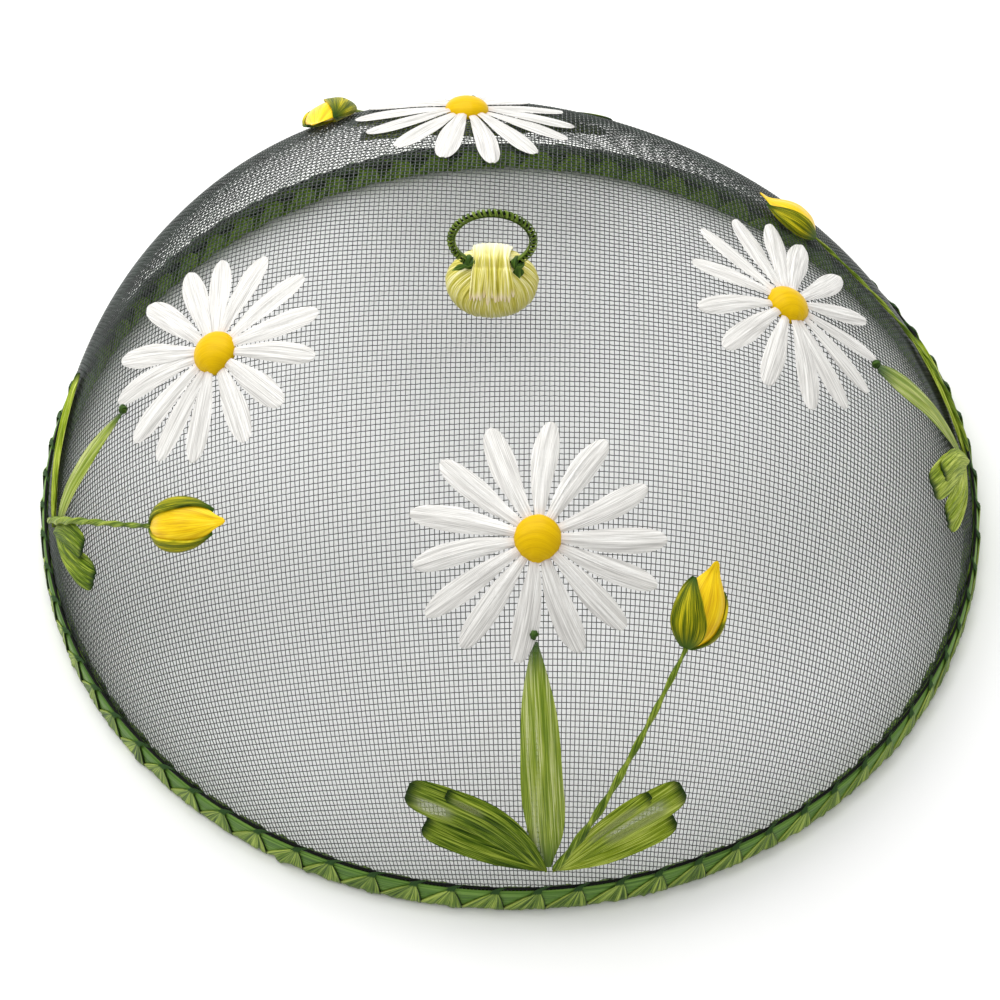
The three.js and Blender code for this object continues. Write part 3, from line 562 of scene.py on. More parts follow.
def blade(shell, route, normals, half_widths, crown, ridge, thickness, seed, columns=17, wave=0.03):
    """A strip of raffia along a route: crowned and ribbed above, and closed below."""
    rng = np.random.default_rng(seed)
    forward = tangents(route)
    side = unit(np.cross(forward, normals))
    up = np.cross(side, forward)
    across = np.linspace(-1, 1, columns)
    along = run_lengths(route)
    share = along / along[-1]
    left, right = ((1 + wave * np.sin(share * rng.uniform(8, 16) + rng.uniform(0, TAU)))[:, None]
                   for _ in range(2))
    offsets = half_widths[:, None] * (np.where(across < 0, left, right) * across)
    drift = np.interp(share, [0, 0.5, 1], rng.uniform(0.4, 1.2, 3))
    ribs = rib_profile(rng, across, 9) * ridge * drift[:, None] * (half_widths / half_widths.max())[:, None]
    top = (np.asarray(crown) * np.ones(len(route)))[:, None] * (1 - across ** 2) + ribs
    bottom = top - thickness * (1 - across ** 2) ** 0.5

    def laid(heights):
        return route[:, None] + side[:, None] * offsets[..., None] + up[:, None] * heights[..., None]

    rings = np.concatenate([laid(top), laid(bottom)[:, -2:0:-1]], 1)
    order = np.concatenate([np.arange(columns), np.arange(columns - 2, 0, -1)])
    strands = fields(offsets[:, order], along[:, None], fibre_number(seed))
    shell.loft(rings, strands, fields(across[order], share[:, None], 0.0))


def tube(shell, route, radius, sides, reference, seed, looped=False, flat=1.0, twists=0.0, start=0.0):
    """A tube along a route. It may be flattened, and then twisted."""
    forward = tangents(route, looped)
    side = unit(np.cross(forward, reference))
    up = np.cross(side, forward)
    around = circle(sides) + start
    radii = np.broadcast_to(radius, (len(route),))[:, None]
    along = run_lengths(route)[:, None]
    share = along / along[-1]
    turn = share * twists * TAU
    wide, deep = radii * np.cos(around), radii * flat * np.sin(around)
    x = wide * np.cos(turn) - deep * np.sin(turn)
    z = wide * np.sin(turn) + deep * np.cos(turn)
    rings = route[:, None] + side[:, None] * x[..., None] + up[:, None] * z[..., None]
    shell.loft(rings, fields(wide, along, fibre_number(seed)), fields(np.cos(around), share, 0.0), looped)


# Net

COLUMN_PITCH = 1.74 * MM
ROW_PITCH = 2.12 * MM
WIRE_RADIUS = 0.185 * MM
WEAVE_LIFT = 0.14 * MM
SKIRT_DEPTH = 9 * MM
WIRE_SIDES = 3
NET_TOP = 0.35 * MM


def sheet_point(u, v, lift):
    """Place and normal on the formed net. Past its edge the sheet runs straight down between the hoops."""
    arc = np.hypot(u, v)
    point, normal = on_net(reach_at_arc(arc), np.arctan2(v, u), lift)
    point[..., 2] -= np.maximum(arc - SHEET_RADIUS, 0)
    return point, normal


def make_net():
    """Wires of both directions, woven over and under each other, in a near and a far half."""
    edge = SHEET_RADIUS + SKIRT_DEPTH
    for label, own, other in (("rows", ROW_PITCH, COLUMN_PITCH), ("columns", COLUMN_PITCH, ROW_PITCH)):
        is_row = label == "rows"
        halves = {"near": Shell(), "far": Shell()}
        lines = int(edge / own)
        for line in range(-lines, lines + 1):
            level = line * own
            steps = int(math.sqrt(max(edge ** 2 - level ** 2, 0)) / other)
            if steps < 2:
                continue
            crossings = np.arange(-steps, steps + 1)
            run, fixed = crossings * other, np.full(len(crossings), level)
            over = ((crossings + line) % 2 == 0) != is_row
            points, normals = sheet_point(*((run, fixed) if is_row else (fixed, run)),
                                          np.where(over, WEAVE_LIFT, -WEAVE_LIFT))
            tube(halves["near" if level < 0 else "far"], points, WIRE_RADIUS, WIRE_SIDES, normals,
                 seed=line, start=math.pi / 2)
        for half, shell in halves.items():
            shell.build(f"net_{label}_{half}", "net_wire", "mesh_dome", sharp=0)


# Rim

WRAP_COUNT = 76
FAN_PEAK_SHARE = 0.76
WRAP_PEAK_SHARE = 0.12
WRAP_PEAK_HALF = 0.09
WRAP_FOOT_SHARES = (0.53, 0.51)
OUTER_HOOP = (176.9 * MM, 175.0 * MM)
INNER_HOOP = (173.7 * MM, 172.6 * MM)
INNER_HOOP_TOP = 7.6 * MM
HOOP_FOOT = 1.1 * MM
LASHING_INNER = 171.8 * MM
CORD_RADIUS = 0.48 * MM
CORD_REACH = OUTER_HOOP[1] + CORD_RADIUS
CORD_HEIGHT = RIM_HEIGHT + 0.3 * MM + CORD_RADIUS


def make_hoop(name, outer, inner, top, look, node):
    """A flat strip with rounded edges and lengthwise fibres that runs round the rim."""
    rng = np.random.default_rng(11)
    level = np.linspace(-1, 1, 21)
    ribs = rib_profile(rng, level, 9) * 0.1 * MM
    groove = 0.22 * MM * bell(level - 0.08, 0.07)
    half, middle = (outer - inner) / 2, (outer + inner) / 2
    back_level = level[2:-2:3][::-1]
    wide = np.concatenate([half * (1 - np.abs(level) ** 9) + ribs - groove,
                           -half * (1 - np.abs(back_level) ** 9)])
    levels = np.concatenate([level, back_level])
    angles = circle(400)[:, None]
    wobble = waves(rng, 0.02, 0.06, angles, (5, 9, 17, 31)) * MM
    rise = (top - HOOP_FOOT) / 2
    rings = polar(middle + wide + wobble, angles, HOOP_FOOT + rise * (1 + levels) + wobble * 0.4)
    strands, places = fields(levels * rise, angles * outer, 5.0), fields(levels, angles / TAU, 0.0)
    shell = Shell()
    shell.loft(rings, strands, places, looped=True)
    shell.build(name, look, node, sharp=60)


def make_edge_cord():
    angles = circle(420)
    drift = waves(np.random.default_rng(3), 0.03, 0.1, angles, (7, 13, 29, 53)) * MM
    shell = Shell()
    tube(shell, polar(CORD_REACH, angles, CORD_HEIGHT + drift), CORD_RADIUS, sides=10,
         reference=np.array([0, 0, 1.0]), seed=1, looped=True)
    shell.build("edge_cord", "black_wire", "edge_wire", sharp=0)


def wrap_section():
    """Stations of a wrap: reach, height, opening, share inside and slide along the rim. It runs down the
    outside, under both hoops, up the inside and back over the cord, which it crosses slantwise."""
    outer, inner = COVER_RADIUS - 0.5 * MM, LASHING_INNER + 0.4 * MM
    foot, bend = 0.42 * MM, 1.0 * MM
    low = foot + bend
    over = CORD_HEIGHT + CORD_RADIUS + 0.06 * MM
    drop = RIM_HEIGHT - 0.3 * MM - low
    rise = INNER_HOOP_TOP - low
    corner = [(bend * (1 - math.cos(turn)), foot + bend * (1 - math.sin(turn))) for turn in (0.6, 1.2)]
    return np.array([
        (CORD_REACH + 0.1 * MM, over, 0, 0, 0.2),
        (CORD_REACH + 0.75 * MM, over - 0.45 * MM, 0, 0, 0.05),
        (outer - 0.3 * MM, RIM_HEIGHT + 0.2 * MM, 0.02, 0, 0),
        *((outer, low + drop * (1 - k / 7), 0.05 + 0.95 * k / 7, 0, 0) for k in range(8)),
        *((outer - reach, height, 1, 0, 0) for reach, height in corner),
        *((outer + (inner - outer) * k / 3, foot, 1, k / 3, 0) for k in (1, 2)),
        *((inner + reach, height, 1, 1, 0) for reach, height in corner[::-1]),
        *((inner, low + k * rise / 5, 1 - 0.45 * k / 5, 1, 0) for k in range(6)),
        (inner + 0.6 * MM, INNER_HOOP_TOP + 0.5 * MM, 0.44, 1, 0.05),
        (inner + 1.6 * MM, INNER_HOOP_TOP + 1.5 * MM, 0.26, 1, 0.15),
        (inner + 2.4 * MM, INNER_HOOP_TOP + 2.6 * MM, 0.06, 0.5, 0.3),
        (CORD_REACH - 0.45 * MM, over - 0.4 * MM, 0, 0.2, 0.4),
    ])


def make_lashing():
    """Raffia wraps round both hoops. Each is narrow at its outside peak and fans out towards the floor."""
    section = wrap_section()
    heading = tangents(section[:, :2], looped=True)
    length = run_lengths(section[:, :2])[:, None]
    reach, height, opening, inside, slide = section.T[..., None]
    out_reach, out_height = -heading[:, 1:], heading[:, :1]
    top_across = np.linspace(-1, 1, 33)
    under_across = np.linspace(1, -1, 5)
    across = np.concatenate([top_across, under_across])
    half_shares = [WRAP_PEAK_HALF + (foot - WRAP_PEAK_HALF) * opening for foot in WRAP_FOOT_SHARES]
    bulge = 0.02 * np.sin(math.pi * opening) * (1 - inside)
    spread = np.where(across < 0, half_shares[0] + bulge, half_shares[1] + bulge) * across
    share_open = 0.2 + 0.8 * opening
    step_up = 0.3 * MM * (top_across + 1) / 2 * opening
    crest = 0.1 * MM * (1 - top_across ** 2) * (1 - opening)
    for label, first in (("near", WRAP_COUNT // 2), ("far", 0)):
        shell = Shell()
        for number in range(first, first + WRAP_COUNT // 2):
            rng = np.random.default_rng(500 + number)
            peak_out = FAN_PEAK_SHARE + rng.uniform(-0.06, 0.06)
            peak_in = WRAP_PEAK_SHARE + rng.uniform(-0.05, 0.05)
            peak = peak_out + (peak_in - peak_out) * inside
            middle = (peak + slide) * (1 - opening) + 0.5 * opening
            angle = TAU / WRAP_COUNT * (number + middle + spread)
            ragged = 1 + 0.12 * rng.normal(size=len(top_across))
            ribs = rib_profile(rng, top_across, 20) * 0.3 * MM * ragged
            top = ribs * share_open + step_up + crest
            under = np.interp(under_across, top_across, ribs) * share_open - (0.3 + 0.2 * opening) * MM
            offset = np.concatenate([top, under], 1)
            radius = reach + out_reach * offset
            level = np.maximum(height + out_height * offset, 0.02 * MM)
            shell.loft(polar(radius, angle, level), fields(across * 6 * MM, length, number * 2.3),
                       fields(across, opening, inside), looped=True)
        shell.build(f"rim_wraps_{label}", "lashing_raffia", "rim_lashing", sharp=40)


# Flowers

PETAL_HALF_WIDTH = 4.3 * MM
PETAL_REACH = 42 * MM
PETAL_ROOT = 4.5 * MM
PETAL_COUNT = 14
PETAL_ROOT_LIFTS = (1.5 * MM, 2.05 * MM)
PETAL_STATIONS = [0, 0.12, 0.28, 0.45, 0.62, 0.78, 0.9, 0.97, 1]
PETAL_SWELLS = [0.34, 0.42, 0.66, 0.9, 1.05, 1.0, 0.78, 0.5, 0.22]
CENTRE_RADIUS = 8.2 * MM
CENTRE_RISE = 5.2 * MM
CENTRE_LIFT = 1.5 * MM
CENTRE_SINK = 1.2 * MM
CENTRE_GROOVE = 0.55 * MM


def flower_frame(name):
    reach, turn = CLUSTERS[name]["flower"]
    origin, normal = on_net(reach * MM, math.radians(turn), 0.0)
    across = unit(np.cross([0, 0, 1.0], normal))
    return origin, normal, across, np.cross(normal, across)


def petal_directions(name, origin, across, towards):
    """Turn and length of each petal in its flower's plane."""
    if name not in PETAL_TIPS_PX:
        rng = np.random.default_rng(77)
        turns = circle(PETAL_COUNT) + 0.12 + rng.uniform(-0.06, 0.06, PETAL_COUNT)
        return list(zip(turns, PETAL_REACH * rng.uniform(0.95, 1.0, PETAL_COUNT)))
    found = []
    for pixel in PETAL_TIPS_PX[name]:
        reach, angle = place_from_pixel(pixel)
        tip, _ = on_net(reach, angle, 0.0)
        x, y = (tip - origin) @ across, (tip - origin) @ towards
        found.append((math.atan2(y, x), math.hypot(x, y)))
    return found


def make_petals(name):
    origin, normal, across, towards = flower_frame(name)
    shell = Shell()
    share = 1 - (1 - np.linspace(0, 1, 30)) ** 1.2
    for number, (turn, length) in enumerate(petal_directions(name, origin, across, towards)):
        seed = 1000 + number * 7 + len(name) * 101
        rng = np.random.default_rng(seed)
        run = PETAL_ROOT + (length - PETAL_ROOT) * share
        bow = rng.uniform(-1.2, 1.2) * MM * np.sin(math.pi * share)
        heading = math.cos(turn) * across + math.sin(turn) * towards
        sideways = -math.sin(turn) * across + math.cos(turn) * towards
        route = settle(origin + run[:, None] * heading + bow[:, None] * sideways, normal)
        root_lift = PETAL_ROOT_LIFTS[number % 2] * (1 - share) ** 1.6
        lift = NET_TOP + 0.55 * MM + root_lift + 0.5 * MM * share ** 4
        half = PETAL_HALF_WIDTH * rng.uniform(0.94, 1.06) * curve(share, PETAL_STATIONS, PETAL_SWELLS)
        crown = rng.uniform(0.5, 1.0) * MM * (0.5 + 0.5 * np.sin(math.pi * share))
        blade(shell, route + lift[:, None] * normal, np.broadcast_to(normal, route.shape), half, crown,
              ridge=0.45 * MM, thickness=0.22 * MM, seed=seed, columns=19)
    shell.build(f"{name}_daisy_petals", "petal_raffia", f"{name}_petals")


def make_flower_centre(name):
    """A button wrapped in one wide strip, pinched at two opposite ends."""
    origin, normal, across, towards = flower_frame(name)
    seat = settle(origin[None], normal)[0] + (NET_TOP + CENTRE_LIFT) * normal
    pinch = math.radians(CLUSTERS[name]["pinch"])
    rounds, sides = 20, 64
    rng = np.random.default_rng(len(name) * 13)
    slope = np.linspace(0, math.pi / 2, rounds)
    around = circle(sides)
    from_pinch, from_notch = (np.angle(np.exp(1j * (around - turn))) for turn in (pinch, pinch + math.pi))
    outline = 1 + 0.1 * bell(from_pinch, 0.22) + 0.03 * bell(from_notch, 0.12)
    grooves = (bell(np.abs(from_pinch) - 0.42, 0.1) * 0.5
               + bell(from_pinch, 0.06) + bell(from_notch, 0.07) * 0.8)
    low = np.cos(slope)[:, None]
    radius = CENTRE_RADIUS * low * (1 + (outline - 1) * low ** 3)
    height = CENTRE_RISE * np.sin(slope)[:, None] - CENTRE_GROOVE * grooves * low ** 4
    height = height + 0.05 * MM * rng.normal(size=(1, sides)) * low ** 2
    local = polar(radius, around, height)
    foot = local[:1] * [0.96, 0.96, 0] - [0, 0, CENTRE_SINK]
    x, y, z = np.moveaxis(np.concatenate([foot, local]), -1, 0)
    rings = seat + x[..., None] * across + y[..., None] * towards + z[..., None] * normal
    fibre_x = x * math.sin(pinch) - y * math.cos(pinch)
    fibre_y = x * math.cos(pinch) + y * math.sin(pinch)
    strands = fields(fibre_y - fibre_x ** 2 / (2.2 * CENTRE_RADIUS), fibre_x, len(name) * 1.7)
    shell = Shell()
    shell.loft(rings, strands, strands * 0)
    shell.build(f"{name}_daisy_button", "yellow_raffia", f"{name}_flower_centre", sharp=70)


# Leaves and stems, in lengths along the net from a cluster's foot

LEAF_ROOT = 1.5 * MM
LEAF_STATIONS = [0, 0.12, 0.3, 0.5, 0.72, 0.86, 0.94, 0.98, 1]
LEAF_SWELLS = [0.12, 0.4, 0.68, 0.88, 1, 0.97, 0.86, 0.7, 0.46]
# Low leaves: lengths, bows, half widths and lifts in millimetres, tips and folds in the picture's pixels
LEAF_LEVELS = {
    "upper": dict(length=62, turn=57, bow=2, half=7.0, lift=1.7, tip=None, fold=None),
    "lower": dict(length=52, turn=71, bow=2, half=6.4, lift=0.9, tip=None, fold=None),
}
LOW_LEAVES = {
    "front_upper_leaf_left": dict(tip=(408, 787), bow=6.5, fold=(447, 789)),
    "front_lower_leaf_left": dict(tip=(425, 820), bow=0.5),
    "front_upper_leaf_right": dict(tip=(681, 785), bow=3, fold=(648, 790)),
    "front_lower_leaf_right": dict(tip=(673, 815), bow=0),
    "left_upper_leaf_left": dict(tip=(83, 374), half=4.6),
    "left_upper_leaf_right": dict(tip=(88, 548), bow=3, half=5.6),
    "left_lower_leaf_right": dict(tip=(97, 577), bow=-1, half=6),
    "right_upper_leaf_left": dict(tip=(927, 488), bow=3, fold=(935, 474)),
    "right_lower_leaf_left": dict(tip=(944, 520), bow=-1),
    "right_upper_leaf_right": dict(tip=(905, 334), half=4.6),
}
# Leaves listed here get the darker copy of the leaf raffia as painted shade. All others get the lighter copy
# as painted light.
PAINTED_SHADE_LEAVES = (("front", "left"), ("left", "right"), ("back", "left"))
TALL_STATIONS = [0, 0.06, 0.13, 0.25, 0.42, 0.6, 0.78, 0.9, 1]
TALL_SWELLS = [0.14, 0.4, 0.72, 0.94, 1, 0.94, 0.7, 0.42, 0.12]
LATE_SWELLS = [0.14, 0.3, 0.48, 0.7, 0.9, 1, 0.98, 0.78, 0.3]
KNOT_RADIUS = 1.7 * MM


def foot_arc(name):
    return SHEET_RADIUS - CLUSTERS[name]["foot_rise"] * MM


def beside_foot(name, across, up, lift):
    reach = reach_at_arc(foot_arc(name) - up)
    return on_net(reach, math.radians(CLUSTERS[name]["leaf_turn"]) + across / reach, lift)


def leaf_tip(name, side, level, pixel):
    """Across and up of a low leaf's tip."""
    if pixel:
        reach, angle = place_from_pixel(pixel)
        turned = (angle - math.radians(CLUSTERS[name]["leaf_turn"]) + math.pi) % TAU - math.pi
        return turned * reach, foot_arc(name) - arc_at_reach(reach)
    length, turn = LEAF_LEVELS[level]["length"] * MM, math.radians(LEAF_LEVELS[level]["turn"])
    return SIDES[side] * length * math.sin(turn), length * math.cos(turn)


def make_low_leaf(name, side, level):
    node = f"{name}_{level}_leaf_{side}"
    leaf = dict(LEAF_LEVELS[level], **LOW_LEAVES.get(node, {}))
    half, bow, lift = (leaf[key] * MM for key in ("half", "bow", "lift"))
    shell = Shell()
    add_low_leaf(shell, name, side, level, leaf["tip"], half, bow, lift)
    if leaf["fold"]:
        half *= 0.5 if name == "front" else 0.72
        add_low_leaf(shell, name, side, level, leaf["fold"], half, bow, lift + 1.0 * MM)
    # The darker copy of the leaf raffia is painted shade, the lighter copy is painted light.
    look = "leaf_raffia" if (name, side) in PAINTED_SHADE_LEAVES else "painted_lit_leaf_raffia"
    if name == "front" and level == "upper":
        look = f"window_{look}"
    shell.build(f"{name}_{level}_blade_{side}", look, node)


def add_low_leaf(shell, name, side, level, pixel, widest, bow, base_lift):
    across, up = leaf_tip(name, side, level, pixel)
    share = 1 - (1 - np.linspace(0, 1, 36)) ** 1.25
    swing = np.sin(math.pi * share)
    seed = 3000 + sum(map(ord, name + side + level))
    rng = np.random.default_rng(seed)
    length = math.hypot(across, up)
    start = LEAF_ROOT / length
    run = start + (1 - start) * share
    aside = np.array([-up, across]) / length * SIDES[side]
    lift = NET_TOP + base_lift + 0.4 * MM * swing
    route, normals = beside_foot(name, across * run + aside[0] * bow * swing,
                                 up * run + aside[1] * bow * swing, lift)
    half = widest * curve(share, LEAF_STATIONS, LEAF_SWELLS) * rng.uniform(0.95, 1.05)
    blade(shell, route, normals, half, crown=0.9 * MM * (0.4 + 0.6 * swing),
          ridge=0.6 * MM if name == "front" else 0.85 * MM, thickness=0.3 * MM, seed=seed, columns=29)


def make_tall_leaf(name):
    cluster = CLUSTERS[name]
    tip_reach, tip_turn = cluster["tall_tip"]
    share = np.linspace(0, 1, 40)
    swing = np.sin(math.pi * share)
    length = foot_arc(name) - arc_at_reach(tip_reach * MM)
    up = LEAF_ROOT + (length - LEAF_ROOT) * share * 0.965
    lean = math.radians(tip_turn - cluster["leaf_turn"]) * tip_reach * MM
    route, normals = beside_foot(name, lean * share ** 1.3, up, NET_TOP + 0.75 * MM + 0.5 * MM * swing)
    swells = LATE_SWELLS if name == "right" else TALL_SWELLS
    half = cluster["tall_half"] * MM * curve(share, TALL_STATIONS, swells)
    shell = Shell()
    blade(shell, route, normals, half, crown=0.8 * MM * (0.35 + 0.65 * swing), ridge=0.5 * MM,
          thickness=0.25 * MM, seed=4000 + len(name), columns=25)
    shell.build(f"{name}_tall_blade", "tall_leaf_raffia", f"{name}_tall_leaf")
    centre, normal = beside_foot(name, lean, length - cluster["knot_drop"] * MM, cluster["knot_lift"] * MM)
    knot = Shell()
    add_knot(knot, centre, normal, unit(route[-1] - route[-4]), KNOT_RADIUS, seed=21 + len(name))
    knot.build(f"{name}_tip_knot", "knot_raffia")


def add_knot(shell, centre, normal, heading, radius, seed):
    """A small knot: three turns of raffia round a core."""
    rng = np.random.default_rng(seed)
    side = unit(np.cross(heading, normal))
    angles = circle(28)[:, None]
    for turn in range(3):
        tilt = math.radians(rng.uniform(-35, 35) + 60 * turn)
        axis = unit(math.cos(tilt) * heading + math.sin(tilt) * side + rng.uniform(-0.4, 0.4) * normal)
        first = unit(np.cross(axis, normal))
        second = np.cross(axis, first)
        loop_radius = radius * rng.uniform(0.52, 0.66)
        shift = rng.uniform(-0.25, 0.25) * radius
        route = centre + shift * axis + loop_radius * (np.cos(angles) * first + np.sin(angles) * second)
        tube(shell, route, radius * 0.42, sides=10, reference=axis, seed=seed + turn, looped=True)


# Buds. A sepal has its first and last turn round the bud, its end and its lean.

SEPAL_SPANS = {
    "front": {"wide": (84, 275, 0.76, 24), "narrow": (-88, 36, 0.72, 24)},
    "left": {"wide": (112, 275, 0.84, 0), "narrow": (-88, 52, 0.84, 0)},
    "right": {"wide": (122, 290, 0.84, 0), "narrow": (-90, -8, 0.7, 0)},
}
BUD_REACH = 137.5 * MM
BUD_FOOT_LIFT = 2.6 * MM
BUD_TIP_LIFT = 5 * MM
BUD_HALF_WIDTH = 10 * MM
BUD_TOP_DEPTH = 6.6 * MM
BUD_UNDER_DEPTH = 2.4 * MM
BUD_STATIONS = [0, 0.04, 0.1, 0.2, 0.34, 0.5, 0.64, 0.76, 0.86, 0.94, 0.98, 1.0]
BUD_SWELLS = [0.14, 0.36, 0.62, 0.88, 1.0, 0.97, 0.84, 0.62, 0.4, 0.27, 0.22, 0.12]
BUD_FLATS = [1, 1, 1, 1, 1, 1, 0.9, 0.76, 0.6, 0.42, 0.3, 0.2]


def bud_frame(name):
    """The bud's foot lies on the net and its tip a little above it, where the net falls away."""
    tip_reach, tip_turn = CLUSTERS[name]["bud_tip"]
    angle = math.radians(CLUSTERS[name]["bud_turn"])
    foot, foot_normal = on_net(BUD_REACH, angle, BUD_FOOT_LIFT)
    tip, tip_normal = on_net(tip_reach * MM, math.radians(tip_turn), BUD_TIP_LIFT)
    along = unit(tip - foot)
    normal = unit(foot_normal + tip_normal)
    normal = unit(normal - (normal @ along) * along)
    return foot, normal, np.cross(along, normal), along, float(np.linalg.norm(tip - foot))


def bud_surface(frame_axes, share, around, inset, flatten=True):
    foot, normal, side, along, length = frame_axes
    swell = curve(share, BUD_STATIONS, BUD_SWELLS)
    flat = curve(share, BUD_STATIONS, BUD_FLATS) if flatten else 1.0
    deep = np.where(np.sin(around) > 0, BUD_TOP_DEPTH, BUD_UNDER_DEPTH)
    half = np.maximum(BUD_HALF_WIDTH * swell - inset, 0.3 * MM)
    depth = np.maximum(deep * swell * flat - inset, 0.25 * MM)
    return (foot + (half * np.cos(around))[..., None] * side + (length * share)[..., None] * along
            + (depth * np.sin(around))[..., None] * normal)


def make_bud(name):
    axes = bud_frame(name)
    share, around = np.meshgrid(np.linspace(0, 1, 44), circle(56), indexing="ij")
    across = np.cos(around)
    folds = rib_profile(np.random.default_rng(sum(map(ord, name))), across[0], 6) * 0.3 * MM
    rings = bud_surface(axes, share, around, 1.15 * MM - folds[None])
    shell = Shell()
    shell.loft(rings, fields(BUD_HALF_WIDTH * across, axes[4] * share, 2.0), fields(across, share, 0.0))
    shell.build(f"{name}_bud_heart", "bud_raffia", f"{name}_bud_core")
    for label, span in SEPAL_SPANS.get(name, SEPAL_SPANS["front"]).items():
        make_sepal(name, label, axes, *span)


def make_sepal(name, label, axes, first, last, end, lean):
    """A shell of raffia round one side of the bud, drawn to a point near the bud's tip."""
    columns, steps = 27, 34
    first, last, lean = math.radians(first), math.radians(last), math.radians(lean)
    rng = np.random.default_rng(sum(map(ord, name + label)))
    across = np.linspace(-1, 1, columns)
    share = np.linspace(0.005, end, steps)[:, None]
    closing = (1 - (share / end) ** 3) ** 0.6
    middle, half = (first + last) / 2, (last - first) / 2
    leaned = lean * np.clip(1 - share / 0.45, 0, 1)
    around = middle + half * closing * across - leaned * np.clip(-across, 0, 1)
    ribs = rib_profile(rng, across, 12) * 0.45 * MM
    grid = np.broadcast_to(share, around.shape)
    outer = bud_surface(axes, grid, around, -0.1 * MM - ribs[None], flatten=False)
    inner = bud_surface(axes, grid, around, 0.85 * MM, flatten=False)
    both = np.concatenate([across, across[::-1]])
    shell = Shell()
    shell.loft(np.concatenate([outer, inner[:, ::-1]], 1),
               fields(half * both * BUD_HALF_WIDTH, share * axes[4], 3.1), fields(both, share / end, 0.0))
    shell.build(f"{name}_sepal_{label}", "sepal_raffia", f"{name}_bud_sepal_{label}")


def make_stem(name):
    """Twisted raffia from the cluster's foot to the bud."""
    cluster = CLUSTERS[name]
    rise = foot_arc(name) - arc_at_reach(BUD_REACH)
    across = math.radians(cluster["bud_turn"] - cluster["leaf_turn"]) * BUD_REACH
    share = np.linspace(0.04, 1.01, 70)
    held = np.minimum(share, 1)
    high, low = NET_TOP + 3.4 * MM, NET_TOP + 1.35 * MM
    late = 2.2 if name == "back" else 1
    lift = curve(held, [0, 0.3, 0.65, 0.9, 1], [high, high, low, low, BUD_FOOT_LIFT])
    up = rise * share - cluster["stem_bow"] * MM * np.sin(math.pi * held ** late)
    sideways = across * share + cluster["stem_start"] * MM * (1 - held) ** 2
    route, normals = beside_foot(name, sideways, up, lift)
    radius = MM * cluster["stem_swell"] * curve(held, [0, 0.15, 0.4, 0.7, 1], [1.15, 1.6, 1.5, 1.25, 1.05])
    shell = Shell()
    tube(shell, route, radius, 16, normals, seed=40 + len(name), flat=0.62, twists=3.5)
    shell.build(f"{name}_stem", "stem_raffia", f"{name}_bud_stem", sharp=0)


# Knob

KNOB_HALF = (16.5 * MM, 13.5 * MM, 11.5 * MM)
KNOB_FOOT_DROP = 9.5 * MM
KNOB_HEIGHT = CROWN_HEIGHT + 0.65 * MM + KNOB_FOOT_DROP
PIN_HEIGHT = KNOB_HEIGHT + KNOB_HALF[2] - 0.5 * MM
STRAP_HALF_WIDTH = 5.8 * MM
STRAP_BUNDLES = 13
STRAND_COUNT = 62
STRAND_SIDES = 7
STRAND_DEPTH = 0.55 * MM


def make_knob():
    rng = np.random.default_rng(8)
    lon = circle(STRAND_COUNT * STRAND_SIDES)
    foot = -math.asin(KNOB_FOOT_DROP / KNOB_HALF[2])
    lat = np.linspace(foot, math.pi / 2 * 0.985, 56)[:, None]
    sway = 0.5 * np.sin(lat * 2.2 + 1.0) + 0.25 * np.sin(lon * 5 + lat * 3)
    phase = (lon * STRAND_COUNT / TAU + sway) % STRAND_COUNT
    within = phase - np.floor(phase)
    tall = rng.uniform(0.25, 0.75, STRAND_COUNT) * MM
    arch = np.sqrt(np.maximum(1 - (2 * within - 1) ** 2, 0))
    ridge = tall[phase.astype(int) % STRAND_COUNT] * arch - STRAND_DEPTH
    ridge = ridge * np.clip(np.cos(lat), 0.1, 1) ** 0.5
    wide, deep, tall = (half + ridge for half in KNOB_HALF)
    rings = fields(CROWN_X + wide * np.cos(lon) * np.cos(lat), deep * np.sin(lon) * np.cos(lat),
                   KNOB_HEIGHT + tall * np.sin(lat))
    strands = fields(phase * TAU * KNOB_HALF[0] / STRAND_COUNT, lat * KNOB_HALF[2], 9.0)
    shell = Shell()
    # Place Y runs from the foot to the top. The knob raffia uses it for its painted highlight at the top and
    # its painted shade at the foot.
    shell.loft(rings, strands, fields(within * 0, (lat - foot) / (lat[-1] - foot), 0.0))
    shell.build("knob_strands", "knob_raffia", "knob_body", sharp=0)


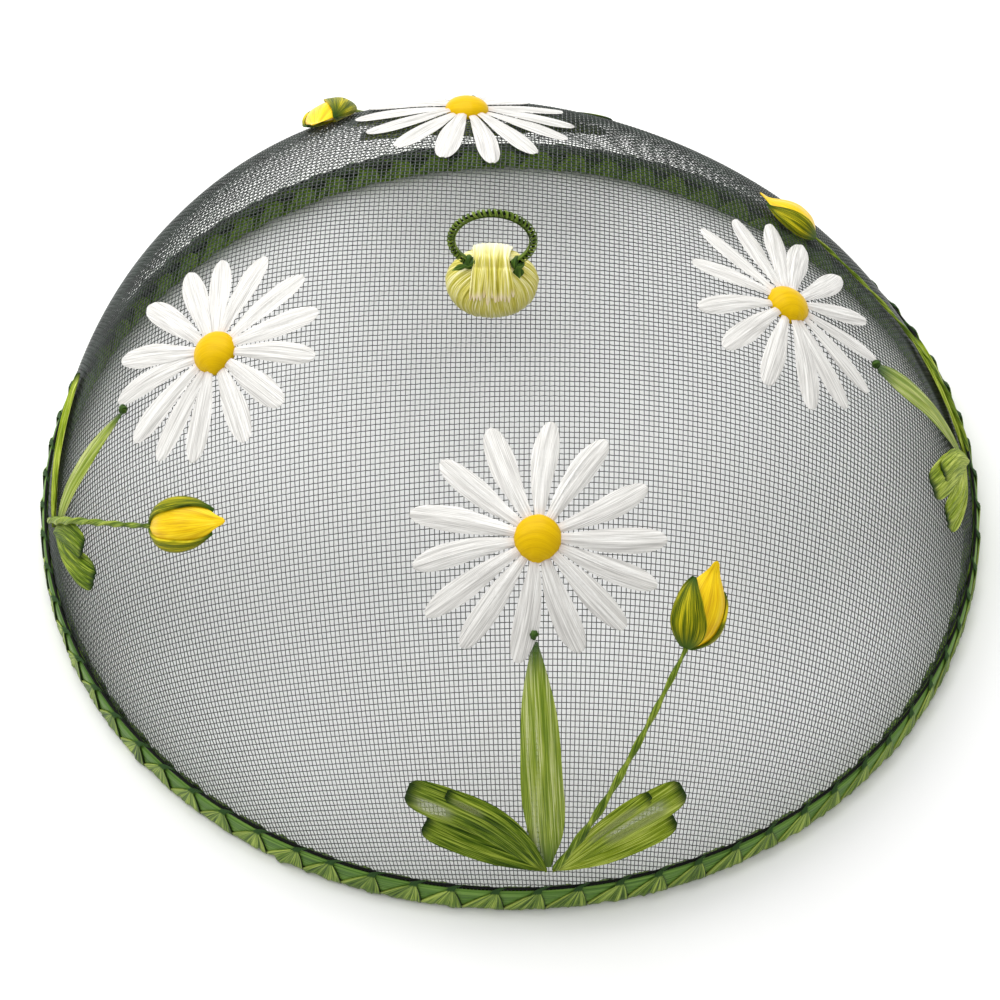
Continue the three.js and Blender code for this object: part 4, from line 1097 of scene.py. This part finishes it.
def make_strap():
    """Strands from the back of the knob over the pin to a ragged end on its front, in several bundles."""
    shell = Shell()
    half_x, half_y, half_z = KNOB_HALF
    for number in range(STRAP_BUNDLES):
        rng = np.random.default_rng(60 + number)
        centre = STRAP_HALF_WIDTH * (2 * (number + 0.5) / STRAP_BUNDLES - 1)
        turn = np.radians(np.linspace(rng.uniform(17, 30), 158, 60))
        front, back = np.clip((math.pi / 2 - turn) / 1.2, 0, 1), np.clip((turn - 1.7) / 0.6, 0, 1)
        flare = 1.06 + 0.36 * front + 0.14 * back
        beside = centre * flare + 0.25 * MM * np.sin(turn * 3 + number)
        lift = (0.7 + 0.22 * (number % 2)) * MM
        bulge = np.sqrt(1 - (beside / (half_x + lift)) ** 2)
        pin = 0.75 * MM * bell(turn - math.pi / 2, 0.14)
        pin -= 0.35 * MM * bell(turn - 1.33, 0.06)
        route = fields(CROWN_X + beside, -(half_y + lift) * bulge * np.cos(turn),
                       KNOB_HEIGHT + ((half_z + lift) * bulge ** 0.5 + pin) * np.sin(turn))
        normals = unit(fields(beside / half_x ** 2 * half_z, -np.cos(turn) / half_y * half_z, np.sin(turn)))
        half = STRAP_HALF_WIDTH / STRAP_BUNDLES * 1.35 * flare
        half *= np.interp(turn, [turn[0], turn[0] + 0.2, turn[-1]], [0.25, 1, 1])
        blade(shell, route, normals, half, crown=0.3 * MM, ridge=0.35 * MM, thickness=0.5 * MM,
              seed=60 + number, columns=13, wave=0.06)
    shell.build("knob_band", "band_raffia", "knob_strap")


def make_tie():
    """The loop under the crown's wires, with both ends in the knob's foot."""
    reach, depth, drop, radius = 3.2 * MM, 4 * MM, 1.6 * MM, 0.8 * MM
    low = CROWN_HEIGHT - NET_TOP - 0.3 * MM - radius - drop
    angles = np.linspace(0, math.pi / 2, 8)
    bend = fields(reach - drop + drop * np.cos(angles), low + drop - drop * np.sin(angles))
    leg = np.concatenate([fields(reach, np.linspace(CROWN_HEIGHT + depth, low + drop, 8)[:-1]), bend])
    middle = fields(np.linspace(reach - drop, -reach + drop, 6)[1:-1], low)
    across, height = np.concatenate([leg, middle, leg[::-1] * [-1, 1]]).T
    shell = Shell()
    tube(shell, fields(CROWN_X + across, across, height), radius, sides=14,
         reference=np.array([1.0, -1.0, 0]) / math.sqrt(2), seed=71, flat=0.8, twists=3)
    shell.build("knob_loop", "knob_raffia", "knob_tie", sharp=0)


# Handle

RING_RADIUS = 14.5 * MM
PIN_HALF_LENGTH = 9 * MM
RING_RISE = math.sqrt(RING_RADIUS ** 2 - PIN_HALF_LENGTH ** 2)
RING_START = -math.asin(RING_RISE / RING_RADIUS)
WINDING_TURNS = 37
WINDING_STEPS = 14
WINDING_ORBIT = 1.15 * MM
WINDING_SETBACK = 1.5 * MM / RING_RADIUS
# Knots with the start, run and bend of their loose ends, in millimetres
HANDLE_KNOTS = {
    "left": dict(place=-7.8, seed=89, half=1.1,
                 start=(-0.5, -2.2, 0.6), run=(-5.5, -0.8, 0), bend=(0, 0, -1.8)),
    "right": dict(place=9, seed=91, half=2.0,
                  start=(0, -2.2, 0.5), run=(0.6, -2.2, -3.6), bend=(0, 0, 0)),
}
KNOT_NORMAL = unit(np.array([0, -0.8, 0.6]))


def outward(angle):
    return fields(np.cos(angle), 0.0, np.sin(angle))


def make_winding():
    centre = np.array([CROWN_X, 0, PIN_HEIGHT + RING_RISE])
    first = RING_START + WINDING_SETBACK
    last = math.pi - first
    share = np.linspace(0, 1, WINDING_TURNS * WINDING_STEPS + 1)
    angle = first + (last - first) * share
    uneven = waves(np.random.default_rng(15), 0.002, 0.006, share * TAU, (5, 8, 13))
    turn = (TAU * WINDING_TURNS * share)[:, None]
    away = outward(angle) * np.cos(turn) + np.array([0, 1.0, 0]) * np.sin(turn)
    route = centre + RING_RADIUS * outward(angle + uneven) + WINDING_ORBIT * away
    shell = Shell()
    blade(shell, route, away, 0.52 * MM * (1 + 0.12 * np.sin(share * 190)), crown=0.16 * MM,
          ridge=0.1 * MM, thickness=0.34 * MM, seed=33, columns=7, wave=0.05)
    inner = outward(np.linspace(first, last, 120))
    blade(shell, centre + (RING_RADIUS - WINDING_ORBIT - 0.3 * MM) * inner, -inner,
          np.full(120, 1.0 * MM), crown=0.3 * MM, ridge=0.1 * MM, thickness=0.4 * MM, seed=34, columns=11)
    shell.build("handle_wrap", "winding_raffia", "handle_winding", body="handle")


def make_handle_knots():
    share = np.linspace(0, 1, 14)[:, None]
    for side, knot in HANDLE_KNOTS.items():
        centre = np.array([CROWN_X + knot["place"] * MM, -0.3 * MM, PIN_HEIGHT])
        shell = Shell()
        add_knot(shell, centre, np.array([0, -1.0, 0]), np.array([1.0, 0, 0]), 2.5 * MM, knot["seed"])
        start, run, bend = (np.array(knot[key]) * MM for key in ("start", "run", "bend"))
        route = centre + start + run * share + bend * share ** 2
        half = knot["half"] * MM * np.maximum(np.sin(math.pi * np.clip(share[:, 0], 0.05, 0.96)), 0.15)
        blade(shell, route, np.broadcast_to(KNOT_NORMAL, route.shape), half, crown=0.4 * MM,
              ridge=0.2 * MM, thickness=0.3 * MM, seed=knot["seed"] + 5, columns=13)
        shell.build(f"handle_tie_{side}", "knot_raffia", f"handle_knot_{side}", body="handle")


# Studio

FLOOR_HALF = 6.0
WORLD_STRENGTH = 0.66


def make_studio():
    mesh = bpy.data.meshes.new("floor")
    corners = [(x * FLOOR_HALF, y * FLOOR_HALF, 0) for x, y in ((-1, -1), (1, -1), (1, 1), (-1, 1))]
    mesh.from_pydata(corners, [], [(0, 1, 2, 3)])
    look = Look("floor_paper")
    grain = look.noise(look.coordinates(), PAPER_SCALES)
    colour = look.ramp(grain, (0.3, 0.7), ((0.9, 0.9, 0.895, 1), (0.93, 0.93, 0.925, 1)))
    look.set(Base_Color=colour, Roughness=0.9, Specular_IOR_Level=0.1)
    mesh.materials.append(look.material)
    floor = bpy.data.objects.new("floor", mesh)
    bpy.context.scene.collection.objects.link(floor)
    bpy.context.scene.view_settings.view_transform = "Standard"
    world = bpy.data.worlds.new("studio")
    bpy.context.scene.world = world
    world.use_nodes = True
    background = world.node_tree.nodes["Background"]
    background.inputs["Color"].default_value = (1, 1, 1, 1)
    background.inputs["Strength"].default_value = WORLD_STRENGTH
    add_softbox("back_softbox", (-0.35, 0.9, 1.5), size=2.0, power=36.0)
    add_softbox("side_softbox", (-1.3, 0.2, 1.2), size=0.8, power=5.0)


def add_softbox(name, place, size, power):
    data = bpy.data.lights.new(name, "AREA")
    data.energy = power
    data.size = size
    light = bpy.data.objects.new(name, data)
    light.location = place
    light.rotation_euler = (Vector((0, 0, 0.03)) - Vector(place)).to_track_quat("-Z", "Y").to_euler()
    bpy.context.scene.collection.objects.link(light)


make_camera()
make_studio()
make_net()
make_hoop("outer_strip", *OUTER_HOOP, RIM_HEIGHT, "hoop_strip", "outer_hoop")
make_hoop("inner_strip", *INNER_HOOP, INNER_HOOP_TOP, "inner_hoop_strip", "inner_hoop")
make_edge_cord()
make_lashing()
for name in CLUSTERS:
    make_petals(name)
    make_flower_centre(name)
    make_tall_leaf(name)
    for side in SIDES:
        for level in LEAF_LEVELS:
            make_low_leaf(name, side, level)
    make_bud(name)
    make_stem(name)
make_knob()
make_strap()
make_tie()
make_winding()
make_handle_knots()
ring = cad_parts["handle_ring"]
ring.data.materials.clear()
ring.data.materials.append(LOOKS["black_wire"][0])
